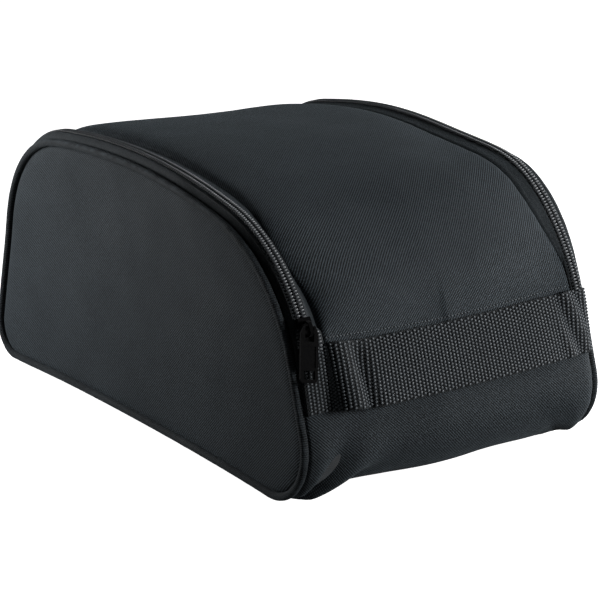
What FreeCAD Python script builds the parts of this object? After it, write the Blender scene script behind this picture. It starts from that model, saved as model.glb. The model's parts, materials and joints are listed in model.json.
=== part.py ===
import FreeCAD, Part
import math
import os
from FreeCAD import Matrix, Vector

# Zip-top shoe bag. Units are millimetres, +Z up, the front with the handle towards -Y.
# The origin is at the middle of the base, on the surface that the bag stands on.
# The body is a general cylinder along X: one side profile, made of four straight or
# gently curved runs joined by tangent arcs. "Offset" always means distance outwards
# from that profile, and every cloth layer is a shell between two offsets.

# ---- side profile ----
HEIGHT = 157.0
CREST_Y = 10.8
CREST_R = 490.0
FRONT_FOOT_Y = -181.8      # where the front slope, drawn on, meets the ground
FRONT_SLOPE = 74.0         # degrees above the ground
REAR_FOOT_Y = 175.4
REAR_SLOPE = 77.0
FRONT_FOOT_R = 36.0
BROW_R = 95.0
SHOULDER_R = 76.0
REAR_FOOT_R = 21.0

# ---- width stations, measured from the middle plane ----
HALF_WIDTH = 102.5
PIPING_D = 4.6
PIPING_CORD_D = 3.0
SEAM_X = HALF_WIDTH - PIPING_D
ZIP_X = 91.0
LID_EDGE = 11.5            # zip centre line to the lid panel's seam

# ---- cloth ----
FABRIC = 0.9
LINING = 0.4
SIDE_FOAM = 3.0
LID_FOAM = 2.8
LID_RISE = 4.2             # offset of the lid panel's outer face
BAND_TOP = 2.0             # offset of the zip bands' outer face
BINDING = 1.5
BINDING_W = 7.5
BINDING_X = SEAM_X - 1.2   # outer edge of the seam binding
SIDE_PROUD = 1.0           # side panel's face beyond the piping's middle
SIDE_GAP = 0.1
FOAM_INSET = 2.9
BASE_BOARD = 2.0
BOARD_FRONT = -128.0
BOARD_BACK = 134.0
BOARD_CORNER_R = 15.0
BOARD_GAP = 0.5            # from the board to the seam binding
BACK_SEAM = 12.0           # zip centre line to the back panel's seam

# ---- zip ----
TAPE = 0.5
TAPE_OFFSET = 2.1
COIL = 1.6
COIL_HALF_W = 3.1
COIL_GAP = 0.15            # from the zip's centre line to each coil
TAPE_GAP = 0.3
TAPE_HALF_W = 6.5
BAND_START = 5.0           # the bands stop here, so the slider can pass
REAR_CROSSING = 35.0       # where the zip crosses the back, degrees on the shoulder arc
CORNER_R = 20.0            # the zip's bend at each rear corner
SLIDER_AT = 152.0          # the slider's place on the brow arc, degrees
HINGE_AT = 144.0           # the lid's fold line on the brow arc, degrees
HEM_AT = 157.5             # lower seam of the lid panel on the brow arc, degrees
LID_GAP = 0.4              # between what opens and what stays

# ---- handle ----
WEBBING = 1.5
WEBBING_W = 38.0
STRAP_HALF = 58.0          # the part that lifts
END_OUTER_X = 97.0
END_INNER_X = 84.0
STRAP_TOP = (-161.0, 87.2)     # (y, z) of the free strap's inner face
STRAP_FOOT = (-177.4, 52.9)
SEWN_TOP_Z = 90.0
STRAP_GAP = 0.1            # under the sewn ends
RISE_GAP = 0.4             # between the free strap and the rising folds

REACH = 400.0              # longer than the bag, for shapes that cut right through it
CUT = 1.0                  # how far a cutter runs past what it cuts


def unit(degrees):
    """Unit vector (y, z) at an angle from +Y."""
    return math.cos(math.radians(degrees)), math.sin(math.radians(degrees))


def polar(centre, radius, degrees):
    c, s = unit(degrees)
    return centre[0] + radius * c, centre[1] + radius * s


def point(yz, x=0.0):
    return Vector(x, yz[0], yz[1])


def foot_arc(foot_y, slope, radius, side):
    """Centre of the arc between the ground and a slope. side is -1 in front, 1 behind."""
    c, s = unit(slope)
    return foot_y - side * radius * (1 + c) / s, radius


def shoulder_arc(foot_y, slope, radius, side):
    """Centre of the arc that is tangent to a slope and, from inside, to the crest."""
    c, s = unit(slope)
    along = (-side * c, s)
    start = (foot_y - side * radius * s, -radius * c)
    dy, dz = start[0] - CREST_Y, start[1] - (HEIGHT - CREST_R)
    half = dy * along[0] + dz * along[1]
    rest = dy * dy + dz * dz - (CREST_R - radius) ** 2
    run = -half + math.sqrt(half * half - rest)
    return start[0] + run * along[0], start[1] + run * along[1]


CREST = (CREST_Y, HEIGHT - CREST_R)
FRONT_FOOT = foot_arc(FRONT_FOOT_Y, FRONT_SLOPE, FRONT_FOOT_R, -1)
REAR_FOOT = foot_arc(REAR_FOOT_Y, REAR_SLOPE, REAR_FOOT_R, 1)
BROW = shoulder_arc(FRONT_FOOT_Y, FRONT_SLOPE, BROW_R, -1)
SHOULDER = shoulder_arc(REAR_FOOT_Y, REAR_SLOPE, SHOULDER_R, 1)


def direction(start, end):
    return math.degrees(math.atan2(end[1] - start[1], end[0] - start[0]))


def profile(offset, x=0.0):
    """The closed side profile at an offset, as a wire in the plane at x."""
    front, rear = 90 + FRONT_SLOPE, 90 - REAR_SLOPE
    over_rear, over_front = direction(CREST, SHOULDER), direction(CREST, BROW)
    arcs = [(SHOULDER, SHOULDER_R, rear, over_rear),
            (CREST, CREST_R, over_rear, over_front),
            (BROW, BROW_R, over_front, front),
            (FRONT_FOOT, FRONT_FOOT_R, front, 270),
            (REAR_FOOT, REAR_FOOT_R, 270, 360 + rear)]
    edges = []
    for index, (centre, radius, start, end) in enumerate(arcs):
        stations = [polar(centre, radius + offset, a) for a in (start, (start + end) / 2, end)]
        edges.append(Part.Arc(*[point(p, x) for p in stations]).toShape())
        following = arcs[(index + 1) % len(arcs)]
        joint = polar(following[0], following[1] + offset, following[2])
        if math.dist(stations[-1], joint) > 0.001:
            edges.append(Part.LineSegment(point(stations[-1], x), point(joint, x)).toShape())
    return Part.Wire(edges)


def slab(offset, x0, x1):
    """Everything inside the profile at an offset, between two stations."""
    return Part.Face(profile(offset, x0)).extrude(Vector(x1 - x0, 0, 0))


def shell(outer, inner, x0, x1):
    """A cloth layer all round the profile, between two offsets."""
    return slab(outer, x0, x1).cut(slab(inner, x0 - CUT, x1 + CUT))


def prism_yz(points, x0, x1):
    corners = [point(p, x0) for p in points]
    return Part.Face(Part.makePolygon(corners + corners[:1])).extrude(Vector(x1 - x0, 0, 0))


def half_space(origin, along, towards):
    """A block with one face through a point and along a line (y, z), on one side of it."""
    near = [(origin[0] + r * along[0], origin[1] + r * along[1]) for r in (REACH, -REACH)]
    far = [(y + REACH * towards[0], z + REACH * towards[1]) for y, z in near]
    return prism_yz([near[0], near[1], far[1], far[0]], -REACH, REACH)


def above(degrees, shift=0.0):
    """All that lies past a radial plane through the brow arc, towards the crest."""
    c, s = unit(degrees)
    origin = (BROW[0] + shift * s, BROW[1] - shift * c)
    return half_space(origin, (c, s), (s, -c))


def zip_frame():
    """Turns drawing axes (across, up the back, inwards) to where the zip crosses the back."""
    c, s = unit(REAR_CROSSING)
    return Matrix(1, 0, 0, 0,
                  0, -s, -c, SHOULDER[0],
                  0, c, -s, SHOULDER[1],
                  0, 0, 0, 1)


def zip_region(outward):
    """All that the zip's U-shaped line encloses, grown outwards by a distance."""
    half, radius = ZIP_X + outward, CORNER_R + outward
    low, high = -outward, REACH
    inner = half - radius
    bend = radius * math.sqrt(0.5)
    edges = [Part.LineSegment(Vector(half, high), Vector(half, low + radius)).toShape(),
             Part.Arc(Vector(half, low + radius), Vector(inner + bend, low + radius - bend),
                      Vector(inner, low)).toShape(),
             Part.LineSegment(Vector(inner, low), Vector(-inner, low)).toShape(),
             Part.Arc(Vector(-inner, low), Vector(-inner - bend, low + radius - bend),
                      Vector(-half, low + radius)).toShape(),
             Part.LineSegment(Vector(-half, low + radius), Vector(-half, high)).toShape(),
             Part.LineSegment(Vector(-half, high), Vector(half, high)).toShape()]
    prism = Part.Face(Part.Wire(edges)).extrude(Vector(0, 0, 2 * REACH))
    prism.translate(Vector(0, 0, -REACH))
    return prism.transformGeometry(zip_frame())


def zip_strip(outer, inner, outward, inward):
    """A layer between two offsets that follows the zip line, between two distances."""
    layer = shell(outer, inner, -SEAM_X, SEAM_X)
    return layer.common(zip_region(outward).cut(zip_region(inward)))


def save(name, shape):
    shape = shape.removeSplitter()
    solids = shape.Solids
    if not solids or not all(s.isValid() and s.isClosed() for s in solids):
        raise ValueError(name + " is not made of closed solids")
    solid = solids[0] if len(solids) == 1 else Part.makeCompound(solids)
    solid.exportStep("parts/" + name + ".step")
    print(name, len(solids), "solids", round(sum(s.Volume for s in solids)), "mm3")


# ---- side panels, piping and seams ----

def piping_ring(x, outer_d, inner_d=0.0):
    """Round piping laid along the profile, with its outermost line on the profile."""
    path = profile(-PIPING_D / 2, x)
    start = path.Edges[0].Vertexes[0].Point
    along = path.Edges[0].tangentAt(path.Edges[0].FirstParameter)

    def tube(diameter):
        ring = Part.Wire(Part.Circle(start, along, diameter / 2).toShape())
        return path.makePipeShell([ring], True, False)

    solid = tube(outer_d)
    return solid.cut(tube(inner_d)) if inner_d else solid


def side(name, hand):
    """One side: stiffened panel, piping in the seam, and the binding inside it."""
    face_x = HALF_WIDTH - PIPING_D / 2 + SIDE_PROUD
    rim = -PIPING_D - SIDE_GAP

    def span(offset, depth, thickness):
        ends = sorted((hand * (face_x - depth), hand * (face_x - depth - thickness)))
        return slab(offset, *ends)

    save(name + "_side_panel", span(rim, 0, FABRIC))
    save(name + "_side_foam", span(rim - FOAM_INSET, FABRIC, SIDE_FOAM))
    save(name + "_side_lining", span(rim, FABRIC + SIDE_FOAM, LINING))
    pipe_x = hand * (HALF_WIDTH - PIPING_D / 2)
    save(name + "_piping_cover", piping_ring(pipe_x, PIPING_D, PIPING_CORD_D + SIDE_GAP))
    save(name + "_piping_cord", piping_ring(pipe_x, PIPING_CORD_D))
    ends = sorted((hand * BINDING_X, hand * (BINDING_X - BINDING_W)))
    top = -FABRIC - LINING - SIDE_GAP
    save(name + "_seam_binding", shell(top, top - BINDING, *ends))


# ---- front, base and back ----

def above_back_seam():
    """All that lies past the seam between the back panel and the zip's outer band."""
    c, s = unit(REAR_CROSSING)
    seam = (SHOULDER[0] + BACK_SEAM * s, SHOULDER[1] - BACK_SEAM * c)
    return half_space(seam, (c, s), (-s, c))


def gusset():
    """The one long panel that runs down the front, under the base and up the back."""
    opening = above_back_seam().common(above(HEM_AT))
    save("gusset_panel", shell(0, -FABRIC, -SEAM_X, SEAM_X).cut(opening))
    inner = SEAM_X - LINING
    lining = shell(-FABRIC, -FABRIC - LINING, -inner, inner)
    save("gusset_lining", lining.cut(opening))
    half = BINDING_X - BINDING_W - BOARD_GAP
    low = Vector(-half, BOARD_FRONT, FABRIC + LINING)
    board = Part.makeBox(2 * half, BOARD_BACK - BOARD_FRONT, BASE_BOARD, low)
    corners = [e for e in board.Edges if abs(e.tangentAt(e.FirstParameter).z) > 0.99]
    save("base_board", board.makeFillet(BOARD_CORNER_R, corners))


# ---- zip and lid ----

def zip_and_lid():
    """The U-shaped zip, its bands, and the lid that it closes, split at the fold line."""
    opens, stays = above(HINGE_AT, LID_GAP / 2), above(HINGE_AT, -LID_GAP / 2)
    hem = above(HEM_AT)
    tape = (TAPE_OFFSET + TAPE, TAPE_OFFSET)
    coil = (tape[0] + SIDE_GAP + COIL, tape[0] + SIDE_GAP)
    band = (BAND_TOP, -FABRIC)

    outer_band = shell(*band, -SEAM_X, SEAM_X).common(above_back_seam())
    save("zip_band_outer", outer_band.cut(zip_region(BAND_START)).common(hem))
    save("zip_tape_outer", zip_strip(*tape, TAPE_HALF_W, TAPE_GAP).common(hem))
    save("zip_coil_outer", zip_strip(*coil, COIL_HALF_W, COIL_GAP).common(hem))

    inner_band = zip_strip(*band, -BAND_START, -LID_EDGE)
    inner_tape = zip_strip(*tape, -TAPE_GAP, -TAPE_HALF_W)
    inner_coil = zip_strip(*coil, -COIL_GAP, -COIL_HALF_W)
    for name, strip in (("zip_band", inner_band), ("zip_tape", inner_tape),
                        ("zip_coil", inner_coil)):
        save(name + "_inner", strip.common(opens))
        save(name + "_front_ends", strip.common(hem).cut(stays))

    inside = zip_region(-LID_EDGE)
    middle = SEAM_X - CUT
    panel = shell(LID_RISE, LID_RISE - FABRIC, -middle, middle).common(inside)
    foam = shell(LID_RISE - FABRIC, LID_RISE - FABRIC - LID_FOAM, -middle, middle)
    foam = foam.common(zip_region(-LID_EDGE - FOAM_INSET))
    under = LID_RISE - FABRIC - LID_FOAM
    lining = shell(under, under - LINING, -middle, middle).common(inside)
    save("lid_panel", panel.common(opens))
    save("lid_foam", foam.common(opens))
    save("lid_lining", lining.common(opens))
    save("lid_front_strip", panel.common(hem).cut(stays))
    save("lid_front_lining", lining.common(hem).cut(stays))


# ---- slider and its pull ----

PLATE = 1.2
PLATE_C = BROW_R + 4.7         # top plate's underside, from the brow arc's centre
BACK_C = BROW_R + 0.5          # back plate's underside
BACK_PLATE = 1.0
RIM = 1.5                      # depth of the rims that hold the coils together
RIM_INNER = 3.45               # half the gap between the rims
# half-widths along the slider: narrow at the tail, shouldered where the zip parts
SLIDER_SIDE = [(3.9, 6.0), (4.1, 1.0), (4.7, -3.0), (4.7, -5.0), (3.6, -6.4), (1.2, -6.8)]
BRIDGE_HALF = 1.1
# the bridge from the side, as (up the zip, above the top plate)
BRIDGE_SIDE = [(-4.6, 0), (-4.6, 2.4), (-3.2, 4.4), (2.4, 4.4), (3.8, 2.4), (3.8, 0),
               (2.6, 0), (2.6, 2.0), (1.6, 3.6), (-2.4, 3.6), (-3.4, 2.0), (-3.4, 0)]
PULL_W = 10.5
PULL_L = 29.0
PULL_THICK = 1.6
PULL_TWIST = 12.0              # degrees that the pull leans towards the side
PULL_LEAN = 11.0               # degrees that it hangs inwards, on to the webbing
PIVOT_B = 0.0
PIVOT_C = PLATE_C + PLATE + 2.5
CROSSBAR_D = 1.6
CROSSBAR_HALF = 3.2
NECK = 2.0                     # how much narrower each side of the pull is at its ends
EYE = (2.7, 2.0, -7.4)         # half-width, top and bottom of the window for the bridge
RECESS = (3.7, -10.0, -21.0)
SLOT = (3.3, -22.5, -27.0)


def slider_frame():
    """Turns drawing axes (across, up the zip, outwards) to the slider's place."""
    c, s = unit(SLIDER_AT)
    return Matrix(1, 0, 0, -ZIP_X,
                  0, s, c, BROW[0],
                  0, -c, s, BROW[1],
                  0, 0, 0, 1)


def plate(points, low, thickness):
    corners = [Vector(a, b, low) for a, b in points]
    face = Part.Face(Part.makePolygon(corners + corners[:1]))
    return face.extrude(Vector(0, 0, thickness))


def window(half, top, bottom, low, thickness):
    """A rectangular plate, centred across."""
    return plate([(half, top), (half, bottom), (-half, bottom), (-half, top)], low, thickness)


def slider_outline(grow=0.0):
    right = [(a + grow, b) for a, b in SLIDER_SIDE]
    return right + [(-a, b) for a, b in reversed(right)]


def slider():
    frame = slider_frame()
    top = plate(slider_outline(), PLATE_C, PLATE)
    rims = plate(slider_outline(), PLATE_C - RIM, RIM)
    throat = window(RIM_INNER, PULL_W, -PULL_W, PLATE_C - RIM - CUT, RIM + CUT)
    body = top.fuse(rims.cut(throat))
    save("slider_body", body.transformGeometry(frame))
    back = plate(slider_outline(-LID_GAP), BACK_C, BACK_PLATE)
    save("slider_back_plate", back.transformGeometry(frame))

    corners = [Vector(-BRIDGE_HALF, b, PLATE_C + PLATE + c) for b, c in BRIDGE_SIDE]
    bridge = Part.Face(Part.makePolygon(corners + corners[:1]))
    save("slider_bridge", bridge.extrude(Vector(2 * BRIDGE_HALF, 0, 0)).transformGeometry(frame))


def pull_tab():
    """Flat pull: a crossbar under the bridge, a window for it, and a slot near the end."""
    half, thick = PULL_W / 2, PULL_THICK
    side_line = [(half - NECK, CROSSBAR_D / 2), (half, -1.5 * NECK), (half, -PULL_L + NECK),
                 (half - NECK, -PULL_L)]
    body = plate(side_line + [(-a, b) for a, b in reversed(side_line)], -thick / 2, thick)
    body = body.cut(window(*EYE, -thick, 2 * thick)).cut(window(*SLOT, -thick, 2 * thick))
    for low in (thick / 4, -thick / 4 - thick):
        body = body.cut(window(*RECESS, low, thick))
    bar = Part.makeCylinder(CROSSBAR_D / 2, 2 * CROSSBAR_HALF, Vector(-CROSSBAR_HALF, 0, 0),
                            Vector(1, 0, 0))
    tab = body.fuse(bar)
    tab.rotate(Vector(0, 0, 0), Vector(1, 0, 0), PULL_LEAN)
    tab.rotate(Vector(0, 0, 0), Vector(0, 0, 1), -PULL_TWIST)
    tab.translate(Vector(0, PIVOT_B, PIVOT_C))
    save("pull_tab", tab.transformGeometry(slider_frame()))


# ---- handle ----

def on_front(z, offset):
    """(y, z) at a height on the front slope, moved outwards by an offset."""
    c, s = unit(FRONT_SLOPE)
    return FRONT_FOOT_Y + z * c / s - offset * s, z + offset * c


def band_section(top, foot, thickness):
    """Quadrilateral section (y, z) of webbing with its inner face from top to foot."""
    dy, dz = foot[0] - top[0], foot[1] - top[1]
    length = math.hypot(dy, dz)
    out = (dz / length * thickness, -dy / length * thickness)
    return [top, foot, (foot[0] + out[0], foot[1] + out[1]), (top[0] + out[0], top[1] + out[1])]


def handle():
    """One webbing strap: two sewn ends, two rising folds, and the free middle that lifts."""
    middle = band_section(STRAP_TOP, STRAP_FOOT, WEBBING)
    save("handle_strap", prism_yz(middle, -STRAP_HALF, STRAP_HALF))
    rise = WEBBING_W * unit(FRONT_SLOPE)[1]
    sewn = band_section(on_front(SEWN_TOP_Z, STRAP_GAP),
                        on_front(SEWN_TOP_Z - rise, STRAP_GAP), WEBBING)
    for name, hand in (("left", -1), ("right", 1)):
        ends = sorted((hand * END_OUTER_X, hand * END_INNER_X))
        flat = prism_yz(sewn, *ends)

        def section(corners, x):
            points = [point(p, hand * x) for p in corners]
            return Part.makePolygon(points + points[:1])

        fold = Part.makeLoft([section(sewn, END_INNER_X), section(middle, STRAP_HALF + RISE_GAP)],
                             True, True)
        save("handle_end_" + name, flat.fuse(fold))


if __name__ == "__main__":
    os.makedirs("parts", exist_ok=True)
    side("left", -1)
    side("right", 1)
    gusset()
    zip_and_lid()
    slider()
    pull_tab()
    handle()
    hinge = polar(BROW, BROW_R + LID_RISE + 0.4, HINGE_AT)
    print("lid hinge (y, z)", [round(v, 3) for v in hinge])
    print("slider hinge (y, z)", [round(v, 3) for v in BROW])
    pivot = slider_frame().multVec(Vector(0, PIVOT_B, PIVOT_C))
    twist = math.radians(PULL_TWIST)
    across = Vector(math.cos(twist), -math.sin(twist), 0)
    turned = slider_frame().multVec(across) - slider_frame().multVec(Vector(0, 0, 0))
    print("pull pivot", [round(v, 3) for v in pivot], "axis", [round(v, 4) for v in turned])
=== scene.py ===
"""Looks of a zip-top shoe bag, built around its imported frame.

Every cloth piece starts as its flat pattern piece and is wrapped round the bag's side
profile, so its weave follows the cloth. A place on the bag is given by a station, the
distance along the side profile from the lid's hem over the top, by x, and by a lift, the
height above the profile. Lengths are in metres; MM turns millimetres into metres.
"""
import json
import logging
import math
from dataclasses import dataclass, field
from enum import Enum
from typing import Callable, Sequence

import bpy
import numpy as np
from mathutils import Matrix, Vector, noise


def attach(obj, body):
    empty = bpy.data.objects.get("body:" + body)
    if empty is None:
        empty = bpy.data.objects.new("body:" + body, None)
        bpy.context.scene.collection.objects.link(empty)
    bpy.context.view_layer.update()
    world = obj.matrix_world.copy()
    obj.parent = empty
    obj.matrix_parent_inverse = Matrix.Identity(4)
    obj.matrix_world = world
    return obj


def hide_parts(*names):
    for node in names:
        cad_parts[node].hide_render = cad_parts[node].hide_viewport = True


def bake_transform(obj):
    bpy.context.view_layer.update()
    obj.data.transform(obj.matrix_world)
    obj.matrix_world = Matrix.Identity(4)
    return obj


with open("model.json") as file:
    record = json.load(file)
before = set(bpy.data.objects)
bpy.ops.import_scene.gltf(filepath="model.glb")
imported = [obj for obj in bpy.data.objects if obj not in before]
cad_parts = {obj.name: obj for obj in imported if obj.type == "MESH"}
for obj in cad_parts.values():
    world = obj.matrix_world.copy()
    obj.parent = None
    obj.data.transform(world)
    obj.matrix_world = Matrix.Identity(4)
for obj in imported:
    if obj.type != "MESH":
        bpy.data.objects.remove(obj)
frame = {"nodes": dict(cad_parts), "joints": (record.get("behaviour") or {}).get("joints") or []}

LOG = logging.getLogger("shoe_bag")
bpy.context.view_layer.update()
MM = 0.001
Array = np.ndarray
Wrap = Callable[[Array, Array], Array]


# ---------------------------------------------------------------- small helpers

def smooth(x: Array, low: float, high: float) -> Array:
    """Smooth step from 0 at low to 1 at high; low may be the larger."""
    t = np.clip((x - low) / (high - low), 0.0, 1.0)
    return t * t * (3.0 - 2.0 * t)


def through(x: Array, stops: Sequence[tuple[float, float]]) -> Array:
    """Soft line through given stops.

    Args:
        x: places to read it at.
        stops: (place, value) pairs in rising order.

    Returns:
        Its values.
    """
    places = np.array([s[0] for s in stops])
    values = np.array([s[1] for s in stops])
    spans = np.gradient(values, places)
    i = np.clip(np.searchsorted(places, x) - 1, 0, len(places) - 2)
    h = places[i + 1] - places[i]
    t = np.clip((x - places[i]) / h, 0.0, 1.0)
    return ((1 + 2 * t) * (1 - t) ** 2 * values[i] + t * (1 - t) ** 2 * h * spans[i]
            + t * t * (3 - 2 * t) * values[i + 1] - t * t * (1 - t) * h * spans[i + 1])


def ripple(a: Array, b: Array, size: float, seed: float) -> Array:
    """Soft noise over two coordinates.

    Args:
        a: first coordinate.
        b: second coordinate.
        size: size of its bumps in metres.
        seed: which noise it is.

    Returns:
        Values from about -1 to 1.
    """
    flat_a, flat_b = np.ravel(a) / size, np.ravel(b) / size
    values = [noise.noise(Vector((p, q, seed))) for p, q in zip(flat_a, flat_b)]
    return np.array(values).reshape(np.shape(a))


def read_points(obj: bpy.types.Object) -> Array:
    """Reads the vertex places of a mesh.

    Args:
        obj: the piece.

    Returns:
        One row of (x, y, z) for each vertex.
    """
    points = np.empty(len(obj.data.vertices) * 3)
    obj.data.vertices.foreach_get("co", points)
    return points.reshape(-1, 3)


def write_points(obj: bpy.types.Object, points: Array) -> None:
    """Sets the vertex places of a mesh."""
    obj.data.vertices.foreach_set("co", np.ascontiguousarray(points, float).ravel())
    obj.data.update()


def pick(obj: bpy.types.Object) -> None:
    """Makes one object the only selected and the active one.

    Args:
        obj: the piece.
    """
    bpy.ops.object.select_all(action="DESELECT")
    obj.select_set(True)
    bpy.context.view_layer.objects.active = obj


def edit_all(obj: bpy.types.Object, *steps: Callable[[], object]) -> None:
    """Runs edit-mode operators on the whole of a mesh.

    Args:
        obj: the piece.
        steps: what to run, in order.
    """
    pick(obj)
    bpy.ops.object.mode_set(mode="EDIT")
    bpy.ops.mesh.select_all(action="SELECT")
    for step in steps:
        step()
    bpy.ops.object.mode_set(mode="OBJECT")


def apply_modifier(obj: bpy.types.Object, kind: str, **settings: object) -> None:
    """Adds a modifier with its settings and applies it.

    Args:
        obj: the piece.
        kind: Blender's modifier type.
        settings: the modifier's properties.
    """
    pick(obj)
    modifier = obj.modifiers.new(kind.title(), kind)
    for name, value in settings.items():
        setattr(modifier, name, value)
    bpy.ops.object.modifier_apply(modifier=modifier.name)


def face_outwards(obj: bpy.types.Object, centre: Vector) -> None:
    """Turns an open sheet's faces so that most look away from a centre.

    Args:
        obj: the piece.
        centre: a point on the inside.
    """
    sizes = np.array([p.area for p in obj.data.polygons])
    normals = np.array([p.normal for p in obj.data.polygons])
    places = np.array([p.center for p in obj.data.polygons]) - np.array(centre)
    if float(((normals * places).sum(1) * sizes).sum()) < 0:
        edit_all(obj, bpy.ops.mesh.flip_normals)


def dress(obj: bpy.types.Object, material: bpy.types.Material) -> None:
    """Gives a piece its only material and smooth faces.

    Args:
        obj: the piece.
        material: its finish.
    """
    obj.data.materials.clear()
    obj.data.materials.append(material)
    obj.data.shade_smooth()


# ---------------------------------------------------------------- the bag's shape

@dataclass(frozen=True)
class Run:
    """One stretch of the side profile: an arc, or a straight line when radius is 0."""
    origin: tuple[float, float]
    radius: float
    heading: float          # degrees: an arc's first normal, or a line's only normal
    begin: float
    length: float

    def place(self, station: Array, lift: Array) -> Array:
        """Points (y, z) at stations on this run.

        Args:
            station: distances along the whole profile.
            lift: heights above the profile.

        Returns:
            Rows of (y, z).
        """
        way = station - self.begin
        if self.radius:
            angle = math.radians(self.heading) - way / self.radius
            reach = self.radius + lift
            return np.stack([self.origin[0] + reach * np.cos(angle),
                             self.origin[1] + reach * np.sin(angle)], -1)
        c, s = math.cos(math.radians(self.heading)), math.sin(math.radians(self.heading))
        return np.stack([self.origin[0] + way * s + lift * c,
                         self.origin[1] - way * c + lift * s], -1)


@dataclass
class SideProfile:
    """The closed side profile that the whole bag is wrapped round."""
    height: float = 157.0 * MM
    crest_y: float = 10.8 * MM
    crest_r: float = 490.0 * MM
    front_foot_y: float = -181.8 * MM
    front_slope: float = 74.0
    rear_foot_y: float = 175.4 * MM
    rear_slope: float = 77.0
    front_foot_r: float = 36.0 * MM
    brow_r: float = 95.0 * MM
    shoulder_r: float = 76.0 * MM
    rear_foot_r: float = 21.0 * MM
    hem_at: float = 157.5
    runs: list[Run] = field(default_factory=list)
    length: float = 0.0

    def __post_init__(self) -> None:
        """Works out the arcs' centres and lays the runs end to end from the hem."""
        crest = (self.crest_y, self.height - self.crest_r)
        front_foot = self._foot(self.front_foot_y, self.front_slope, self.front_foot_r, -1)
        rear_foot = self._foot(self.rear_foot_y, self.rear_slope, self.rear_foot_r, 1)
        self.brow = self._shoulder(self.front_foot_y, self.front_slope, self.brow_r, -1)
        self.shoulder = self._shoulder(self.rear_foot_y, self.rear_slope, self.shoulder_r, 1)
        front, rear = 90 + self.front_slope, 90 - self.rear_slope
        over_front = self._heading(crest, self.brow)
        over_rear = self._heading(crest, self.shoulder)
        self._arc(self.brow, self.brow_r, self.hem_at, over_front)
        self._arc(crest, self.crest_r, over_front, over_rear)
        self.shoulder_begin = self.length
        self._arc(self.shoulder, self.shoulder_r, over_rear, rear)
        self._line(rear, self._end(rear_foot, self.rear_foot_r, rear))
        self._arc(rear_foot, self.rear_foot_r, rear, -90)
        self.base_begin = self.length
        self._line(-90, self._end(front_foot, self.front_foot_r, -90))
        self.base_end = self.length
        self._arc(front_foot, self.front_foot_r, 270, front)
        self.front_begin = self.length
        self._line(front, self._end(self.brow, self.brow_r, front))
        self._arc(self.brow, self.brow_r, front, self.hem_at)
        self.over_rear = over_rear

    @staticmethod
    def _heading(start: tuple[float, float], end: tuple[float, float]) -> float:
        """Direction between two (y, z) points in degrees."""
        return math.degrees(math.atan2(end[1] - start[1], end[0] - start[0]))

    @staticmethod
    def _end(centre: tuple[float, float], radius: float, degrees: float) -> tuple[float, float]:
        """Point of an arc at an angle."""
        return (centre[0] + radius * math.cos(math.radians(degrees)),
                centre[1] + radius * math.sin(math.radians(degrees)))

    @staticmethod
    def _foot(foot_y: float, slope: float, radius: float, side: int) -> tuple[float, float]:
        """Centre of the arc between the ground and a slope."""
        c, s = math.cos(math.radians(slope)), math.sin(math.radians(slope))
        return foot_y - side * radius * (1 + c) / s, radius

    def _shoulder(self, foot_y: float, slope: float, radius: float,
                  side: int) -> tuple[float, float]:
        """Centre of the arc that is tangent to a slope and, from inside, to the crest.

        Args:
            foot_y: where the slope meets the ground.
            slope: its angle in degrees.
            radius: the arc's radius.
            side: -1 at the front, 1 at the rear.

        Returns:
            The arc's centre.
        """
        c, s = math.cos(math.radians(slope)), math.sin(math.radians(slope))
        start = (foot_y - side * radius * s, -radius * c)
        dy, dz = start[0] - self.crest_y, start[1] - (self.height - self.crest_r)
        half = -side * c * dy + s * dz
        rest = dy * dy + dz * dz - (self.crest_r - radius) ** 2
        run = -half + math.sqrt(half * half - rest)
        return start[0] - side * c * run, start[1] + s * run

    def _arc(self, centre: tuple[float, float], radius: float, start: float, end: float) -> None:
        """Adds an arc to the profile.

        Args:
            centre: its centre, (y, z).
            radius: its radius.
            start: direction of its first normal in degrees.
            end: direction of its last, further down.
        """
        length = radius * math.radians(start - end)
        self.runs.append(Run(centre, radius, start, self.length, length))
        self.length += length

    def _line(self, normal: float, target: tuple[float, float]) -> None:
        """Adds a straight run from the last run's end to a target.

        Args:
            normal: direction of its normal in degrees.
            target: the point (y, z) that it ends at.
        """
        last = self.runs[-1]
        start = last.place(np.array(last.begin + last.length), np.array(0.0))
        length = math.dist(tuple(start), target)
        self.runs.append(Run(tuple(start), 0.0, normal, self.length, length))
        self.length += length

    def on_brow(self, degrees: float) -> float:
        """Station of an angle on the brow arc."""
        return self.brow_r * math.radians(self.hem_at - degrees)

    def on_shoulder(self, degrees: float) -> float:
        """Station of an angle on the shoulder arc."""
        return self.shoulder_begin + self.shoulder_r * math.radians(self.over_rear - degrees)

    def wrap(self, x: Array, station: Array, lift: Array) -> Array:
        """Points in space for places on the bag.

        Args:
            x: places along X.
            station: distances along the profile from the hem; any whole turn is dropped.
            lift: heights above the profile.

        Returns:
            Rows of (x, y, z).
        """
        x, station, lift = np.broadcast_arrays(x, np.mod(station, self.length), lift)
        points = np.zeros(station.shape + (3,))
        points[..., 0] = x
        for index, run in enumerate(self.runs):
            last = index == len(self.runs) - 1
            mine = (station >= run.begin) & ((station < run.begin + run.length) | last)
            points[mine, 1:] = run.place(station[mine], lift[mine])
        return points


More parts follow.
